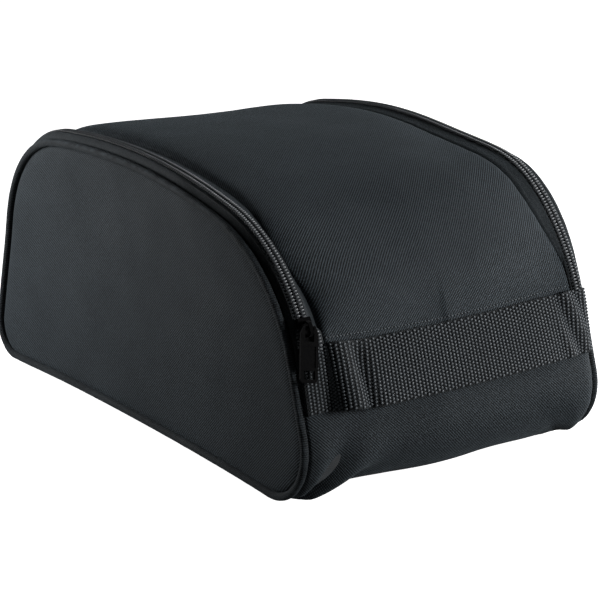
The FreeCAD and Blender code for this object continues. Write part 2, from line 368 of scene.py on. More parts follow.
@dataclass
class ZipLine:
    """The U-shaped line that the zip follows, from the front left round to the front right."""
    profile: SideProfile
    zip_x: float = 91.0 * MM
    corner_r: float = 20.0 * MM
    crossing: float = 35.0
    tucked: float = 9.0 * MM       # length of zip hidden under the webbing at each end

    def __post_init__(self) -> None:
        """Measures the line's legs, corners and crossing."""
        self.back = self.profile.on_shoulder(self.crossing)
        self.leg = self.back - self.corner_r + self.tucked
        self.bend = math.pi / 2 * self.corner_r
        self.cross = 2 * (self.zip_x - self.corner_r)
        self.length = 2 * (self.leg + self.bend) + self.cross

    def place(self, run: Array, outward: Array) -> tuple[Array, Array]:
        """Where the line is on the bag.

        Args:
            run: distances along the line from its front left end.
            outward: distances from the line, away from the lid.

        Returns:
            x and station.
        """
        run, outward = np.broadcast_arrays(run, outward)
        mirrored = run > self.length / 2
        r = np.where(mirrored, self.length - run, run)
        turn = np.clip((r - self.leg) / self.corner_r, 0, math.pi / 2)
        past = np.clip(r - self.leg - self.bend, 0, None)
        reach = self.corner_r + outward
        x = -(self.zip_x - self.corner_r) - reach * np.cos(turn) + past
        station = np.minimum(r, self.leg) - self.tucked + reach * np.sin(turn)
        return np.where(mirrored, -x, x), station


# ---------------------------------------------------------------- material tools

Socket = bpy.types.NodeSocket


class Graph:
    """Adds nodes to a tree and links them as it goes."""

    def __init__(self, tree: bpy.types.NodeTree) -> None:
        """Starts on a tree; nodes are set out from left to right."""
        self.tree = tree
        self.count = 0

    def add(self, kind: str, inputs: dict | None = None, **settings: object) -> bpy.types.Node:
        """Adds a node.

        Args:
            kind: Blender's node type.
            inputs: values or sockets by input name or number.
            settings: the node's own properties.

        Returns:
            The node.
        """
        node = self.tree.nodes.new(kind)
        node.location = (200 * (self.count % 8), -260 * (self.count // 8))
        self.count += 1
        for name, value in settings.items():
            setattr(node, name, value)
        for name, value in (inputs or {}).items():
            if isinstance(value, Socket):
                self.tree.links.new(value, node.inputs[name])
            else:
                node.inputs[name].default_value = value
        return node

    def math(self, operation: str, *values: object) -> Socket:
        """A Math node's result."""
        return self.add("ShaderNodeMath", dict(enumerate(values)), operation=operation).outputs[0]

    def mix(self, factor: object, low: object, high: object) -> Socket:
        """Mixes two colours.

        Args:
            factor: share of the second.
            low: first colour.
            high: second colour.

        Returns:
            The mixed colour.
        """
        node = self.add("ShaderNodeMix", data_type="RGBA")
        for index, value in ((0, factor), (6, low), (7, high)):
            if isinstance(value, Socket):
                self.tree.links.new(value, node.inputs[index])
            else:
                node.inputs[index].default_value = value
        return node.outputs[2]

    def span(self, value: object, low: float, high: float, to: tuple = (0.0, 1.0)) -> Socket:
        """A value moved from one range to another, and held inside it."""
        return self.add("ShaderNodeMapRange", {0: value, 1: low, 2: high, 3: to[0], 4: to[1]}
                        ).outputs[0]


def new_group(name: str, inputs: dict[str, tuple], outputs: dict[str, str]
              ) -> tuple[bpy.types.NodeTree, Graph, bpy.types.Node]:
    """Starts a shader node group.

    Args:
        name: the group's name.
        inputs: socket type and default value by name.
        outputs: socket type by name.

    Returns:
        The group, a graph on it, and its input node.
    """
    tree = bpy.data.node_groups.new(name, "ShaderNodeTree")
    for label, (kind, value) in inputs.items():
        socket = tree.interface.new_socket(label, in_out="INPUT", socket_type=kind)
        if value is not None:
            socket.default_value = value
    for label, kind in outputs.items():
        tree.interface.new_socket(label, in_out="OUTPUT", socket_type=kind)
    graph = Graph(tree)
    return tree, graph, graph.add("NodeGroupInput")


class Effects:
    """Shader node groups that several finishes share."""

    def __init__(self) -> None:
        """Builds each group once."""
        self.twill = self._twill()
        self.plain = self._plain()
        self.mottle = self._mottle()
        self.wear = self._wear()

    @staticmethod
    def _yarns(graph: Graph, start: bpy.types.Node) -> tuple[Socket, Socket]:
        """Cloth coordinates counted in yarns, turned by the group's Angle.

        Args:
            graph: the group's graph.
            start: the group's input node.

        Returns:
            Yarn counts across and along.
        """
        turned = graph.add("ShaderNodeVectorRotate", {"Vector": start.outputs["Cloth"],
                           "Angle": start.outputs["Angle"]}, rotation_type="Z_AXIS")
        parts = graph.add("ShaderNodeSeparateXYZ", {0: turned.outputs[0]})
        return (graph.math("DIVIDE", parts.outputs[0], start.outputs["Pitch"]),
                graph.math("DIVIDE", parts.outputs[1], start.outputs["Pitch"]))

    @staticmethod
    def _round(graph: Graph, value: Socket) -> Socket:
        """Height of a row of round yarns.

        Args:
            graph: the group's graph.
            value: place counted in yarns.

        Returns:
            The height, 1 on each yarn's crown.
        """
        centred = graph.math("SUBTRACT", graph.math("FRACT", value), 0.5)
        doubled = graph.math("MULTIPLY", centred, 2.0)
        return graph.math("SUBTRACT", 1.0, graph.math("MULTIPLY", doubled, doubled))

    @staticmethod
    def _cloth_inputs(pitch: float) -> dict[str, tuple]:
        """Inputs that every weave group has."""
        return {"Cloth": ("NodeSocketVector", None), "Pitch": ("NodeSocketFloat", pitch),
                "Angle": ("NodeSocketFloat", 0.0)}

    def _twill(self) -> bpy.types.NodeTree:
        """Two-over-one twill: slanted ribs of short floats.

        Returns:
            The group.
        """
        tree, graph, start = new_group("twill_weave", self._cloth_inputs(0.45 * MM),
                                       {"Height": "NodeSocketFloat"})
        a, b = self._yarns(graph, start)
        step = graph.math("ADD", b, graph.math("FLOOR", a))
        phase = graph.math("FRACT", graph.math("DIVIDE", step, 3.0))
        over = graph.math("SINE", graph.math("MULTIPLY", graph.math("MINIMUM", graph.math(
            "MULTIPLY", phase, 1.5), 1.0), math.pi))
        under = graph.math("SINE", graph.span(phase, 0.667, 1.0, (0.0, math.pi)))
        warp = graph.math("MULTIPLY", self._round(graph, a), over)
        weft = graph.math("MULTIPLY", self._round(graph, b), under)
        height = graph.math("MAXIMUM", warp, graph.math("MULTIPLY", weft, 0.15))
        graph.add("NodeGroupOutput", {"Height": height})
        return tree

    def _plain(self) -> bpy.types.NodeTree:
        """Plain one-over-one weave.

        Returns:
            The group.
        """
        tree, graph, start = new_group("plain_weave", self._cloth_inputs(0.4 * MM),
                                       {"Height": "NodeSocketFloat"})
        a, b = self._yarns(graph, start)
        cell = graph.math("ADD", graph.math("FLOOR", a), graph.math("FLOOR", b))
        odd = graph.math("MODULO", cell, 2.0)
        lift = graph.math("ABSOLUTE", odd)
        warp = graph.math("MULTIPLY", self._round(graph, a), lift)
        weft = graph.math("MULTIPLY", self._round(graph, b), graph.math("SUBTRACT", 1.0, lift))
        graph.add("NodeGroupOutput", {"Height": graph.math("MAXIMUM", warp, weft)})
        return tree

    @staticmethod
    def _mottle() -> bpy.types.NodeTree:
        """Uneven dye and handling: broad soft patches and fine flecks.

        Returns:
            The group.
        """
        tree, graph, start = new_group(
            "mottle", {"Place": ("NodeSocketVector", None), "Patch": ("NodeSocketFloat", 25.0),
                       "Fleck": ("NodeSocketFloat", 900.0)},
            {"Patches": "NodeSocketFloat", "Flecks": "NodeSocketFloat"})
        patch = graph.add("ShaderNodeTexNoise", {"Vector": start.outputs["Place"],
                          "Scale": start.outputs["Patch"], "Detail": 3.0, "Roughness": 0.55})
        fleck = graph.add("ShaderNodeTexNoise", {"Vector": start.outputs["Place"],
                          "Scale": start.outputs["Fleck"], "Detail": 1.0})
        graph.add("NodeGroupOutput", {"Patches": graph.span(patch.outputs["Fac"], 0.3, 0.7),
                                      "Flecks": graph.span(fleck.outputs["Fac"], 0.42, 0.72)})
        return tree

    @staticmethod
    def _wear() -> bpy.types.NodeTree:
        """Rubbed edges: a piece's own wear mask, broken up so that it is never even.

        Returns:
            The group.
        """
        tree, graph, start = new_group(
            "edge_wear", {"Place": ("NodeSocketVector", None), "Mask": ("NodeSocketFloat", 0.0),
                          "Amount": ("NodeSocketFloat", 0.5)}, {"Wear": "NodeSocketFloat"})
        broken = graph.add("ShaderNodeTexNoise", {"Vector": start.outputs["Place"],
                           "Scale": 180.0, "Detail": 3.0})
        patchy = graph.span(broken.outputs["Fac"], 0.35, 0.65)
        worn = graph.math("MULTIPLY", graph.math("MULTIPLY", start.outputs["Mask"], patchy),
                          start.outputs["Amount"])
        graph.add("NodeGroupOutput", {"Wear": worn})
        return tree


class Weave(Enum):
    """How a cloth is woven."""
    TWILL = "twill"
    PLAIN = "plain"


Colour = tuple[float, float, float]


def new_material(name: str) -> tuple[bpy.types.Material, Graph]:
    """Starts an empty material.

    Args:
        name: the material's name.

    Returns:
        The material and a graph on its tree.
    """
    material = bpy.data.materials.new(name)
    material.use_nodes = True
    material.node_tree.nodes.clear()
    return material, Graph(material.node_tree)


def worn_places(graph: Graph, effects: Effects, amount: float) -> tuple[Socket, ...]:
    """Adds the mottle and the edge wear of a finish.

    Args:
        graph: the material's graph.
        effects: the shared node groups.
        amount: how strongly edges are rubbed.

    Returns:
        The mottle's fleck scale input, its patches and flecks, and the wear.
    """
    place = graph.add("ShaderNodeTexCoord").outputs["Object"]
    mottle = graph.add("ShaderNodeGroup", {"Place": place}, node_tree=effects.mottle)
    mask = graph.add("ShaderNodeAttribute", attribute_name="wear").outputs["Fac"]
    wear = graph.add("ShaderNodeGroup", {"Place": place, "Mask": mask, "Amount": amount},
                     node_tree=effects.wear)
    return (mottle.inputs["Fleck"], mottle.outputs["Patches"], mottle.outputs["Flecks"],
            wear.outputs["Wear"])


def rgba(colour: Colour) -> tuple[float, float, float, float]:
    """A colour with full alpha."""
    return (*colour, 1.0)


@dataclass(frozen=True)
class ClothFinish:
    """A woven finish: dyed yarns with a weave, sheen, uneven dye and rubbed edges. Its hollows
    are coloured near black and its yarns' crowns far lighter: painted shade and painted highlight
    across the weave.
    """
    name: str
    weave: Weave
    # colour goes in the hollows between the yarns, near black there as painted shade
    colour: Colour
    crown: Colour                 # colour on the yarns' crowns, far lighter than colour: a painted highlight
    pitch: float = 0.58 * MM
    angle: float = 0.0            # degrees that the weave is turned on the pattern piece
    depth: float = 0.20 * MM
    roughness: float = 0.78
    sheen: float = 0.06
    fuzz: float = 0.35
    worn: Colour = (0.12, 0.145, 0.165)
    wear: float = 0.35

    def make(self, effects: Effects) -> bpy.types.Material:
        """Builds the material.

        Args:
            effects: the shared node groups.

        Returns:
            The finished material.
        """
        material, graph = new_material(self.name)
        cloth = graph.add("ShaderNodeUVMap", uv_map="UVMap").outputs["UV"]
        height = graph.add("ShaderNodeGroup", {"Cloth": cloth, "Pitch": self.pitch,
                           "Angle": math.radians(self.angle)},
                           node_tree=getattr(effects, self.weave.value)).outputs["Height"]
        _, patches, flecks, wear = worn_places(graph, effects, self.wear)
        # Hollows take colour and crowns take crown: painted shade and painted highlight across
        # the weave, on top of its bump.
        yarn = graph.mix(graph.span(height, 0.30, 0.95), rgba(self.colour), rgba(self.crown))
        deep = graph.mix(graph.math("MULTIPLY", patches, 0.22), yarn,
                         rgba(tuple(0.45 * c for c in self.colour)))
        lint = graph.mix(graph.math("MULTIPLY", flecks, self.fuzz * 0.3), deep,
                         rgba(self.worn))
        final = graph.mix(wear, lint, rgba(self.worn))
        bump = graph.add("ShaderNodeBump", {"Height": height, "Distance": self.depth,
                                            "Strength": 0.9})
        rough = graph.math("ADD", graph.math("MULTIPLY", patches, 0.08), self.roughness - 0.04)
        shader = graph.add("ShaderNodeBsdfPrincipled", {
            "Base Color": final, "Roughness": rough, "Normal": bump.outputs[0],
            "Sheen Weight": self.sheen, "Sheen Roughness": 0.45,
            "Sheen Tint": (0.75, 0.9, 1.0, 1.0), "Specular IOR Level": 0.2})
        graph.add("ShaderNodeOutputMaterial", {"Surface": shader.outputs[0]})
        return material


@dataclass(frozen=True)
class HardFinish:
    """A smooth moulded, lacquered or foamed finish with faint grain and rubbed edges, and, where
    rim is set, a painted highlight on faces seen edge-on.
    """
    name: str
    colour: Colour
    roughness: float
    metallic: float = 0.0
    coat: float = 0.0
    grain: float = 700.0
    depth: float = 0.03 * MM
    worn: Colour = (0.20, 0.20, 0.21)
    wear: float = 0.4
    specular: float = 0.4
    rim: float = 0.0              # how far faces seen edge-on are painted lighter: a painted rim highlight

    def make(self, effects: Effects) -> bpy.types.Material:
        """Builds the material.

        Args:
            effects: the shared node groups.

        Returns:
            The finished material.
        """
        material, graph = new_material(self.name)
        grain, patches, flecks, wear = worn_places(graph, effects, self.wear)
        grain.default_value = self.grain
        base = graph.mix(graph.math("MULTIPLY", patches, 0.35), rgba(self.colour),
                         rgba(tuple(1.5 * c for c in self.colour)))
        final = graph.mix(wear, base, rgba(self.worn))
        # Painted rim highlight: faces seen edge-on are mixed toward the worn colour.
        if self.rim:
            facing = graph.add("ShaderNodeLayerWeight", {"Blend": 0.5}).outputs["Facing"]
            final = graph.mix(graph.span(facing, 0.4, 0.85, (0.0, self.rim)), final,
                              rgba(self.worn))
        bump = graph.add("ShaderNodeBump", {"Height": flecks, "Distance": self.depth,
                                            "Strength": 0.4})
        rough = graph.math("ADD", graph.math("MULTIPLY", flecks, 0.12), self.roughness)
        shader = graph.add("ShaderNodeBsdfPrincipled", {
            "Base Color": final, "Roughness": rough, "Normal": bump.outputs[0],
            "Metallic": self.metallic, "Coat Weight": self.coat, "Coat Roughness": 0.25,
            "Specular IOR Level": self.specular})
        graph.add("ShaderNodeOutputMaterial", {"Surface": shader.outputs[0]})
        return material


class Finishes:
    """Every material that the bag wears."""

    def __init__(self) -> None:
        """Makes the materials."""
        effects = Effects()
        # dark is the weave's hollows, painted shade; crown is its crowns, a painted highlight.
        dark, crown = (0.0007, 0.0010, 0.0013), (0.0900, 0.1180, 0.1410)
        self.side = ClothFinish("twill_side", Weave.TWILL, dark, crown).make(effects)
        self.twill = ClothFinish("twill_lid", Weave.TWILL, dark, crown,
                                 angle=90.0).make(effects)
        self.gusset = ClothFinish("twill_gusset", Weave.TWILL, dark,
                                  (0.0740, 0.0960, 0.1140)).make(effects)
        self.smooth = ClothFinish("band_cloth", Weave.PLAIN, dark, (0.0240, 0.0300, 0.0345),
                                  pitch=0.34 * MM, depth=0.05 * MM).make(effects)
        # The sides' twill with crowns about half as light: painted shade, for piping that lies
        # shaded along the seam.
        self.piping = ClothFinish("piping_cloth", Weave.TWILL, dark, (0.0440, 0.0560, 0.0660),
                                  angle=45.0, wear=0.45).make(effects)
        self.webbing = HardFinish("webbing_yarn", (0.069, 0.079, 0.088), 0.55, grain=2600.0,
                                  depth=0.12 * MM, worn=(0.14, 0.15, 0.16)).make(effects)
        # Near black, far darker than the stitches: painted shade in the gaps between the
        # webbing's stitches.
        self.backing = ClothFinish("webbing_body_painted_shade", Weave.PLAIN, (0.0008, 0.0010, 0.0012),
                                   (0.0040, 0.0046, 0.0052), pitch=0.8 * MM).make(effects)
        self.tape = ClothFinish("zip_tape", Weave.PLAIN, (0.005, 0.0056, 0.0062),
                                (0.020, 0.022, 0.024), pitch=0.5 * MM).make(effects)
        self.lining = ClothFinish("lining_cloth", Weave.PLAIN, (0.030, 0.031, 0.033),
                                  (0.062, 0.064, 0.067), pitch=0.3 * MM,
                                  depth=0.05 * MM).make(effects)
        self.binding = ClothFinish("binding_tape", Weave.PLAIN, (0.012, 0.013, 0.014),
                                   (0.040, 0.043, 0.046), pitch=0.6 * MM).make(effects)
        self.thread = HardFinish("sewing_thread", (0.060, 0.070, 0.078), 0.6,
                                 grain=2500.0).make(effects)
        self.coil = HardFinish("nylon_coil", (0.060, 0.066, 0.072), 0.38, coat=0.1).make(effects)
        # The slider's rim and worn colour paint a light edge on faces seen edge-on: a painted
        # highlight.
        self.slider = HardFinish("black_lacquer", (0.0012, 0.0012, 0.0014), 0.34,
                                 specular=0.01, rim=0.8, worn=(0.05, 0.05, 0.052)).make(effects)
        self.foam = HardFinish("closed_cell_foam", (0.55, 0.55, 0.52), 0.9, grain=1600.0,
                               depth=0.1 * MM).make(effects)
        self.board = HardFinish("base_board", (0.045, 0.046, 0.048), 0.6).make(effects)


# ---------------------------------------------------------------- cloth pieces

@dataclass
class Pattern:
    """A flat pattern piece that is cut as a grid and wrapped to its place."""
    name: str
    across: float
    along: float
    step: float = 2.0 * MM
    thickness: float = 0.8 * MM
    centre: Vector = field(default_factory=lambda: Vector((0, 0, 0.07)))

    def cut(self, wrap: Wrap, wear: Wrap | None = None, closed: bool = False
            ) -> bpy.types.Object:
        """Makes the piece.

        Args:
            wrap: gives points in space for flat coordinates, both measured from the middle.
            wear: gives the wear mask, 0 to 1, for the same coordinates.
            closed: True where the wrapped grid meets itself and needs no thickness.

        Returns:
            The piece, with its flat coordinates in metres as its UV map.
        """
        cells = [max(2, round(size / self.step)) for size in (self.across, self.along)]
        bpy.ops.object.select_all(action="DESELECT")
        bpy.ops.mesh.primitive_grid_add(x_subdivisions=cells[0], y_subdivisions=cells[1],
                                        size=1.0)
        obj = bpy.context.object
        obj.name = obj.data.name = self.name
        flat = read_points(obj)[:, :2] * (self.across, self.along)
        uv = np.empty(len(obj.data.loops) * 2)
        obj.data.uv_layers[0].name = "UVMap"
        obj.data.uv_layers[0].data.foreach_get("uv", uv)
        sized = uv.reshape(-1, 2) * (self.across, self.along)
        obj.data.uv_layers[0].data.foreach_set("uv", sized.ravel())
        mask = np.zeros(len(flat)) if wear is None else wear(flat[:, 0], flat[:, 1])
        attribute = obj.data.attributes.new("wear", "FLOAT", "POINT")
        attribute.data.foreach_set("value", np.clip(mask, 0, 1).astype(np.float32))
        write_points(obj, wrap(flat[:, 0], flat[:, 1]))
        if closed:
            edit_all(obj, lambda: bpy.ops.mesh.remove_doubles(threshold=0.02 * MM),
                     lambda: bpy.ops.mesh.normals_make_consistent(inside=False))
        else:
            face_outwards(obj, self.centre)
            apply_modifier(obj, "SOLIDIFY", thickness=self.thickness, offset=-1.0)
        return obj


def repeat(name: str, template: bpy.types.Object, frames: Array) -> bpy.types.Object:
    """Copies a small shape to many places as one mesh, and removes the first.

    Args:
        name: the new piece's name.
        template: the shape, modelled round the origin.
        frames: 4 by 4 matrices, one for each copy.

    Returns:
        The piece.
    """
    points = np.c_[read_points(template), np.ones(len(template.data.vertices))]
    placed = np.einsum("nij,vj->nvi", frames, points)[..., :3].reshape(-1, 3)
    faces = [tuple(p.vertices) for p in template.data.polygons]
    count = len(points)
    every = [tuple(v + count * i for v in face) for i in range(len(frames)) for face in faces]
    mesh = bpy.data.meshes.new(name)
    mesh.from_pydata(placed.tolist(), [], every)
    obj = bpy.data.objects.new(name, mesh)
    bpy.context.scene.collection.objects.link(obj)
    attribute = mesh.attributes.new("wear", "FLOAT", "POINT")
    attribute.data.foreach_set("value", np.full(len(placed), 0.3, np.float32))
    bpy.data.objects.remove(template)
    return obj


def frames_on(points: Array, ahead: Array, up: Array) -> Array:
    """Sets a frame at each of some points.

    Args:
        points: their places.
        ahead: directions of X.
        up: directions that Z is near.

    Returns:
        4 by 4 matrices.
    """
    x = ahead / np.linalg.norm(ahead, axis=-1, keepdims=True)
    y = np.cross(up, x)
    y /= np.linalg.norm(y, axis=-1, keepdims=True)
    z = np.cross(x, y)
    frames = np.zeros((len(points), 4, 4))
    for column, axis in enumerate((x, y, z, points)):
        frames[:, :3, column] = axis
    frames[:, 3, 3] = 1
    return frames


def bead(radii: tuple[float, float, float], segments: int = 8, rings: int = 6
         ) -> bpy.types.Object:
    """A small egg-shaped template.

    Args:
        radii: its half-sizes.
        segments: faces round it.
        rings: faces along it.

    Returns:
        The template.
    """
    bpy.ops.object.select_all(action="DESELECT")
    bpy.ops.mesh.primitive_uv_sphere_add(segments=segments, ring_count=rings, radius=1.0)
    obj = bpy.context.object
    write_points(obj, read_points(obj) * radii)
    return obj


# ---------------------------------------------------------------- the bag

@dataclass
class Fit:
    """Shared places and levels that neighbouring pieces agree on."""
    profile: SideProfile
    zip: ZipLine
    seam_x: float = 97.9 * MM
    piping_r: float = 2.3 * MM
    piping_x: float = 100.2 * MM
    roll_from: float = 86.0 * MM   # the seam's roll starts here and grows over roll_width
    roll_width: float = 12.0 * MM
    zip_level: float = 2.7 * MM
    coil_half: float = 3.1 * MM
    coil_height: float = 1.6 * MM
    band_gap: float = 0.2 * MM     # between the coil and the bands beside it
    back_seam: float = 12.0 * MM
    lid_inset: float = 11.5 * MM

    def wrap(self, x: Array, station: Array, lift: Array) -> Array:
        """Points on the bag, its right-hand seam rolled under as the filled bag does.

        Args:
            x: places along X.
            station: distances along the profile from the hem.
            lift: heights above the profile.

        Returns:
            Points in space.
        """
        x, station, lift = np.broadcast_arrays(x, np.mod(station, self.profile.length), lift)
        sink = self.roll(station) * np.clip((x - self.roll_from) / self.roll_width, 0, 1) ** 4
        return self.profile.wrap(x + 0.15 * sink, station, lift - sink + self.settle(x, station))

    def settle(self, x: Array, station: Array) -> Array:
        """How the filled bag stands away from its pattern: leaning crown, bowed base.

        Args:
            x: places along X.
            station: distances along the profile from the hem.

        Returns:
            Heights to add.
        """
        profile, on = self.profile, self.profile.on_brow

        def near(place: float, width: float) -> Array:
            """Soft bump round a station."""
            return np.exp(-((station - place) / width) ** 2)

        rear = profile.shoulder_begin + 0.015
        lean = 5.0 * MM * near(on(108), 0.040) * smooth(x, -30 * MM, 95 * MM)
        lean -= 4.4 * MM * near(rear, 0.075) * smooth(x, -80 * MM, 30 * MM)
        lean += 1.8 * MM * near(rear + 0.01, 0.055) * smooth(x, -20 * MM, -95 * MM)
        lean -= 2.2 * MM * near(rear + 0.075, 0.045)
        begin, end = profile.base_begin, profile.base_end
        stops = [(0.0, 0.0), (begin - 0.04, 0.0), (begin, 0.9), (begin + 0.06, 3.4),
                 (begin + 0.14, 4.8), (end - 0.06, 4.4), (end - 0.01, 3.0), (end + 0.02, 1.4),
                 (end + 0.05, 0.0), (profile.length, 0.0)]
        tuck = 3.2 * MM * near(end + 0.012, 0.030) * smooth(
            np.abs(x), 98 * MM, 70 * MM) * (1 - 0.9 * np.exp(-(x / (40 * MM)) ** 2))
        return lean - through(station, stops) * MM - tuck

    def roll(self, station: Array) -> Array:
        """How far the right-hand seam is rolled under.

        Args:
            station: distances along the profile from the hem.

        Returns:
            Depths.
        """
        on, whole = self.profile.on_brow, self.profile
        stops = [(0.0, 7.5), (on(150), 6.6), (on(141), 4.2), (on(131), 2.0), (on(116), 0.6),
                 (0.14, 0.0), (whole.base_end - 0.04, 0.0), (whole.base_end, 1.0),
                 (whole.front_begin, 6.0), (whole.length, 7.5)]
        return through(station, stops) * MM

    def lid_edge_x(self, station: Array, hand: Array) -> Array:
        """Half-width of the lid panel, which sits a little askew over the brow.

        Args:
            station: distances along the profile from the hem.
            hand: left below 0, right above.

        Returns:
            Half-widths.
        """
        on = self.profile.on_brow
        tops = [(0.14, 81.0), (0.20, 80.0), (0.30, 79.5)]
        left = [(0.0, 80.5), (on(147), 79.8), (on(139), 82.0), (on(131), 86.2),
                (on(124), 87.2), (on(117), 86.8), (on(109), 84.6), (on(102), 82.6)] + tops
        right = [(0.0, 88.2), (on(147), 86.0), (on(139), 83.2), (on(131), 80.8),
                 (on(124), 79.8), (on(117), 79.4), (on(109), 79.0), (0.20, 79.0), (0.30, 79.5)]
        return np.where(hand < 0, through(station, left), through(station, right)) * MM

    def lid_edge_lift(self, station: Array, hand: Array) -> Array:
        """Height of the lid panel's side seams: sunk by the slider, level on the right.

        Args:
            station: distances along the profile from the hem.
            hand: left below 0, right above.

        Returns:
            Heights.
        """
        on = self.profile.on_brow
        left = [(0.0, -0.4), (on(147), -1.2), (on(139), -0.4), (on(131), 1.6),
                (on(122), 2.5), (on(110), 2.4), (0.14, 2.2), (0.30, 2.2)]
        right = [(0.0, 1.9), (on(147), 2.2), (on(131), 2.5), (on(110), 2.5), (0.14, 2.4),
                 (0.30, 2.2)]
        return np.where(hand < 0, through(station, left), through(station, right)) * MM

    def spread(self, x: Array, station: Array, side: int) -> Array:
        """How far a row of the zip has parted from its line below the slider."""
        parted = smooth(station, 13 * MM, 6 * MM) * (x < 0)
        return (5.4 if side < 0 else 3.0) * MM * parted

    def pressed(self, x: Array, station: Array) -> Array:
        """Share, 0 to 1, by which the cloth beside the chain is pressed flat by the slider."""
        return smooth(x, -30 * MM, -70 * MM) * smooth(station, 0.15, 0.12)

    def zip_lift(self, station: Array) -> Array:
        """Height of the zip tape's outer face, sinking where the ends are tucked in."""
        return self.zip_level - 2.2 * MM * smooth(station, 1.0 * MM, -8.0 * MM)


@dataclass
class LidPanel:
    """The lid: outer cloth, foam, lining, and topstitching along its hem."""
    fit: Fit
    finishes: Finishes
    corner: float = 9.0 * MM
    sag: float = 3.6 * MM
    groove: float = 0.9 * MM
    rise: float = 4.3 * MM         # level that the cloth rises to inside its seams
    arch: float = 1.7 * MM         # further rise of its middle
    cloth_half: float = 84.0 * MM
    foam_start: float = 27.0 * MM
    foam_inset: float = 8.0 * MM
    foam_half: float = 76.0 * MM
    lining_half: float = 79.5 * MM
    stitch_row: float = 2.9 * MM
    stitch_pitch: float = 2.2 * MM
    back: float = field(init=False)

    def __post_init__(self) -> None:
        """Finds the station of the lid's rear seam."""
        self.back = self.fit.zip.back - self.fit.lid_inset

    def hem(self, x: Array) -> Array:
        """Station of the lid's front edge, which droops in the middle."""
        return -self.sag * np.cos(np.clip(x / (80 * MM), -1, 1) * math.pi / 2)

    def edge(self, station: Array, hand: Array) -> Array:
        """Half-width on one hand, with the rear corners rounded.

        Args:
            station: distances along the profile from the hem.
            hand: left below 0, right above.

        Returns:
            Half-widths.
        """
        into = np.clip(station - (self.back - self.corner), 0, self.corner)
        return self.fit.lid_edge_x(station, hand) - self.corner + np.sqrt(
            np.maximum(self.corner ** 2 - into ** 2, 0))

    def lift(self, x: Array, station: Array) -> Array:
        """Height of the outer face: sunk seams, a quick rise, and a soft crown.

        Args:
            x: places along X.
            station: distances along the profile from the hem.

        Returns:
            Heights above the profile.
        """
        half = self.edge(station, x)
        side = np.clip(half - np.abs(x), 0, None)
        rear = np.clip(self.back - station, 0, None)
        seam = self.fit.lid_edge_lift(station, x)
        near = np.minimum(side, rear)
        front_right = smooth(x, 20 * MM, 60 * MM) * smooth(station, 0.17, 0.10)
        rise = 1 - np.exp(-near / ((4.5 + 13.0 * front_right) * MM))
        middle = 1 - (np.abs(x) / half) ** 2.2
        crown = self.rise + self.arch * middle
        lift = seam + (crown - seam) * rise - self.groove * np.exp(-near / (1.3 * MM))
        lift += 1.0 * MM * ripple(x, station, 62 * MM, 3.1) * smooth(near, 0, 20 * MM)
        lift += 0.22 * MM * ripple(x, station, 22 * MM, 8.7) * smooth(near, 0, 9 * MM)
        pucker = np.exp(-near / (5 * MM)) * ripple(station, np.sign(x), 6 * MM, 4.4)
        lift += 0.25 * MM * pucker
        held = smooth(station, 26 * MM, 0.0)
        return lift * (1 - held) + held * np.minimum(lift, 1.6 * MM + seam * 0.3)

    def cloth(self) -> bpy.types.Object:
        """The outer cloth in one piece from hem to rear.

        Returns:
            The piece.
        """
        pattern = Pattern("lid_panel_cloth", 2 * self.cloth_half, self.back + self.sag,
                          1.5 * MM)

        def wrap(a: Array, b: Array) -> Array:
            """Places the flat cloth between the drooped hem and the rear seam.

            Args:
                a: flat places across, from the piece's middle.
                b: flat places along, from the piece's middle.

            Returns:
                Points in space.
            """
            share = b / pattern.along + 0.5
            u = a / (pattern.across / 2)
            start = self.hem(u * self.edge(share * self.back, u))
            station = start + share * (self.back - start)
            x = u * self.edge(station, u)
            return self.fit.wrap(x, station, self.lift(x, station))

        def wear(a: Array, b: Array) -> Array:
            """Rubs the cloth along its side seams."""
            side = pattern.across / 2 - np.abs(a)
            return np.exp(-side / (3 * MM)) * 0.6

        obj = pattern.cut(wrap, wear)
        dress(obj, self.finishes.twill)
        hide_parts("lid_panel", "lid_front_strip")
        return obj

    def foam(self) -> bpy.types.Object:
        """The foam under the cloth, short of its seams.

        Returns:
            The piece.
        """
        start, inset = self.foam_start, self.foam_inset
        pattern = Pattern("lid_foam_pad", 2 * self.foam_half, self.back - inset - start,
                          3.0 * MM, 2.2 * MM)

        def wrap(a: Array, b: Array) -> Array:
            """Places the flat foam under the cloth.

            Args:
                a: flat places across, from the piece's middle.
                b: flat places along, from the piece's middle.

            Returns:
                Points in space.
            """
            station = start + b + pattern.along / 2
            u = a / (pattern.across / 2)
            x = u * (self.edge(station, u) - inset)
            return self.fit.wrap(x, station, self.lift(x, station) - 1.0 * MM)

        obj = pattern.cut(wrap)
        dress(obj, self.finishes.foam)
        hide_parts("lid_foam")
        return obj

    def lining(self) -> bpy.types.Object:
        """The lining under the foam, seen when the lid is open.

        Returns:
            The piece.
        """
        pattern = Pattern("lid_lining_cloth", 2 * self.lining_half, self.back, 3.0 * MM,
                          0.4 * MM)

        def wrap(a: Array, b: Array) -> Array:
            """Places the flat lining under the foam.

            Args:
                a: flat places across, from the piece's middle.
                b: flat places along, from the piece's middle.

            Returns:
                Points in space.
            """
            station = b + pattern.along / 2
            x = a / (pattern.across / 2) * np.minimum(
                self.edge(station, a), self.lining_half)
            lift = 0.1 * MM + 0.25 * MM * ripple(x, station, 40 * MM, 1.5)
            lift = np.minimum(lift, self.lift(x, station) - 1.2 * MM)
            return self.fit.wrap(x, station, lift)

        obj = pattern.cut(wrap)
        dress(obj, self.finishes.lining)
        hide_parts("lid_lining", "lid_front_lining")
        return obj

    def topstitch(self) -> bpy.types.Object:
        """Dotted line of stitches just above the hem.

        Returns:
            The piece.
        """
        x = np.arange(-78 * MM, self.cloth_half, self.stitch_pitch)

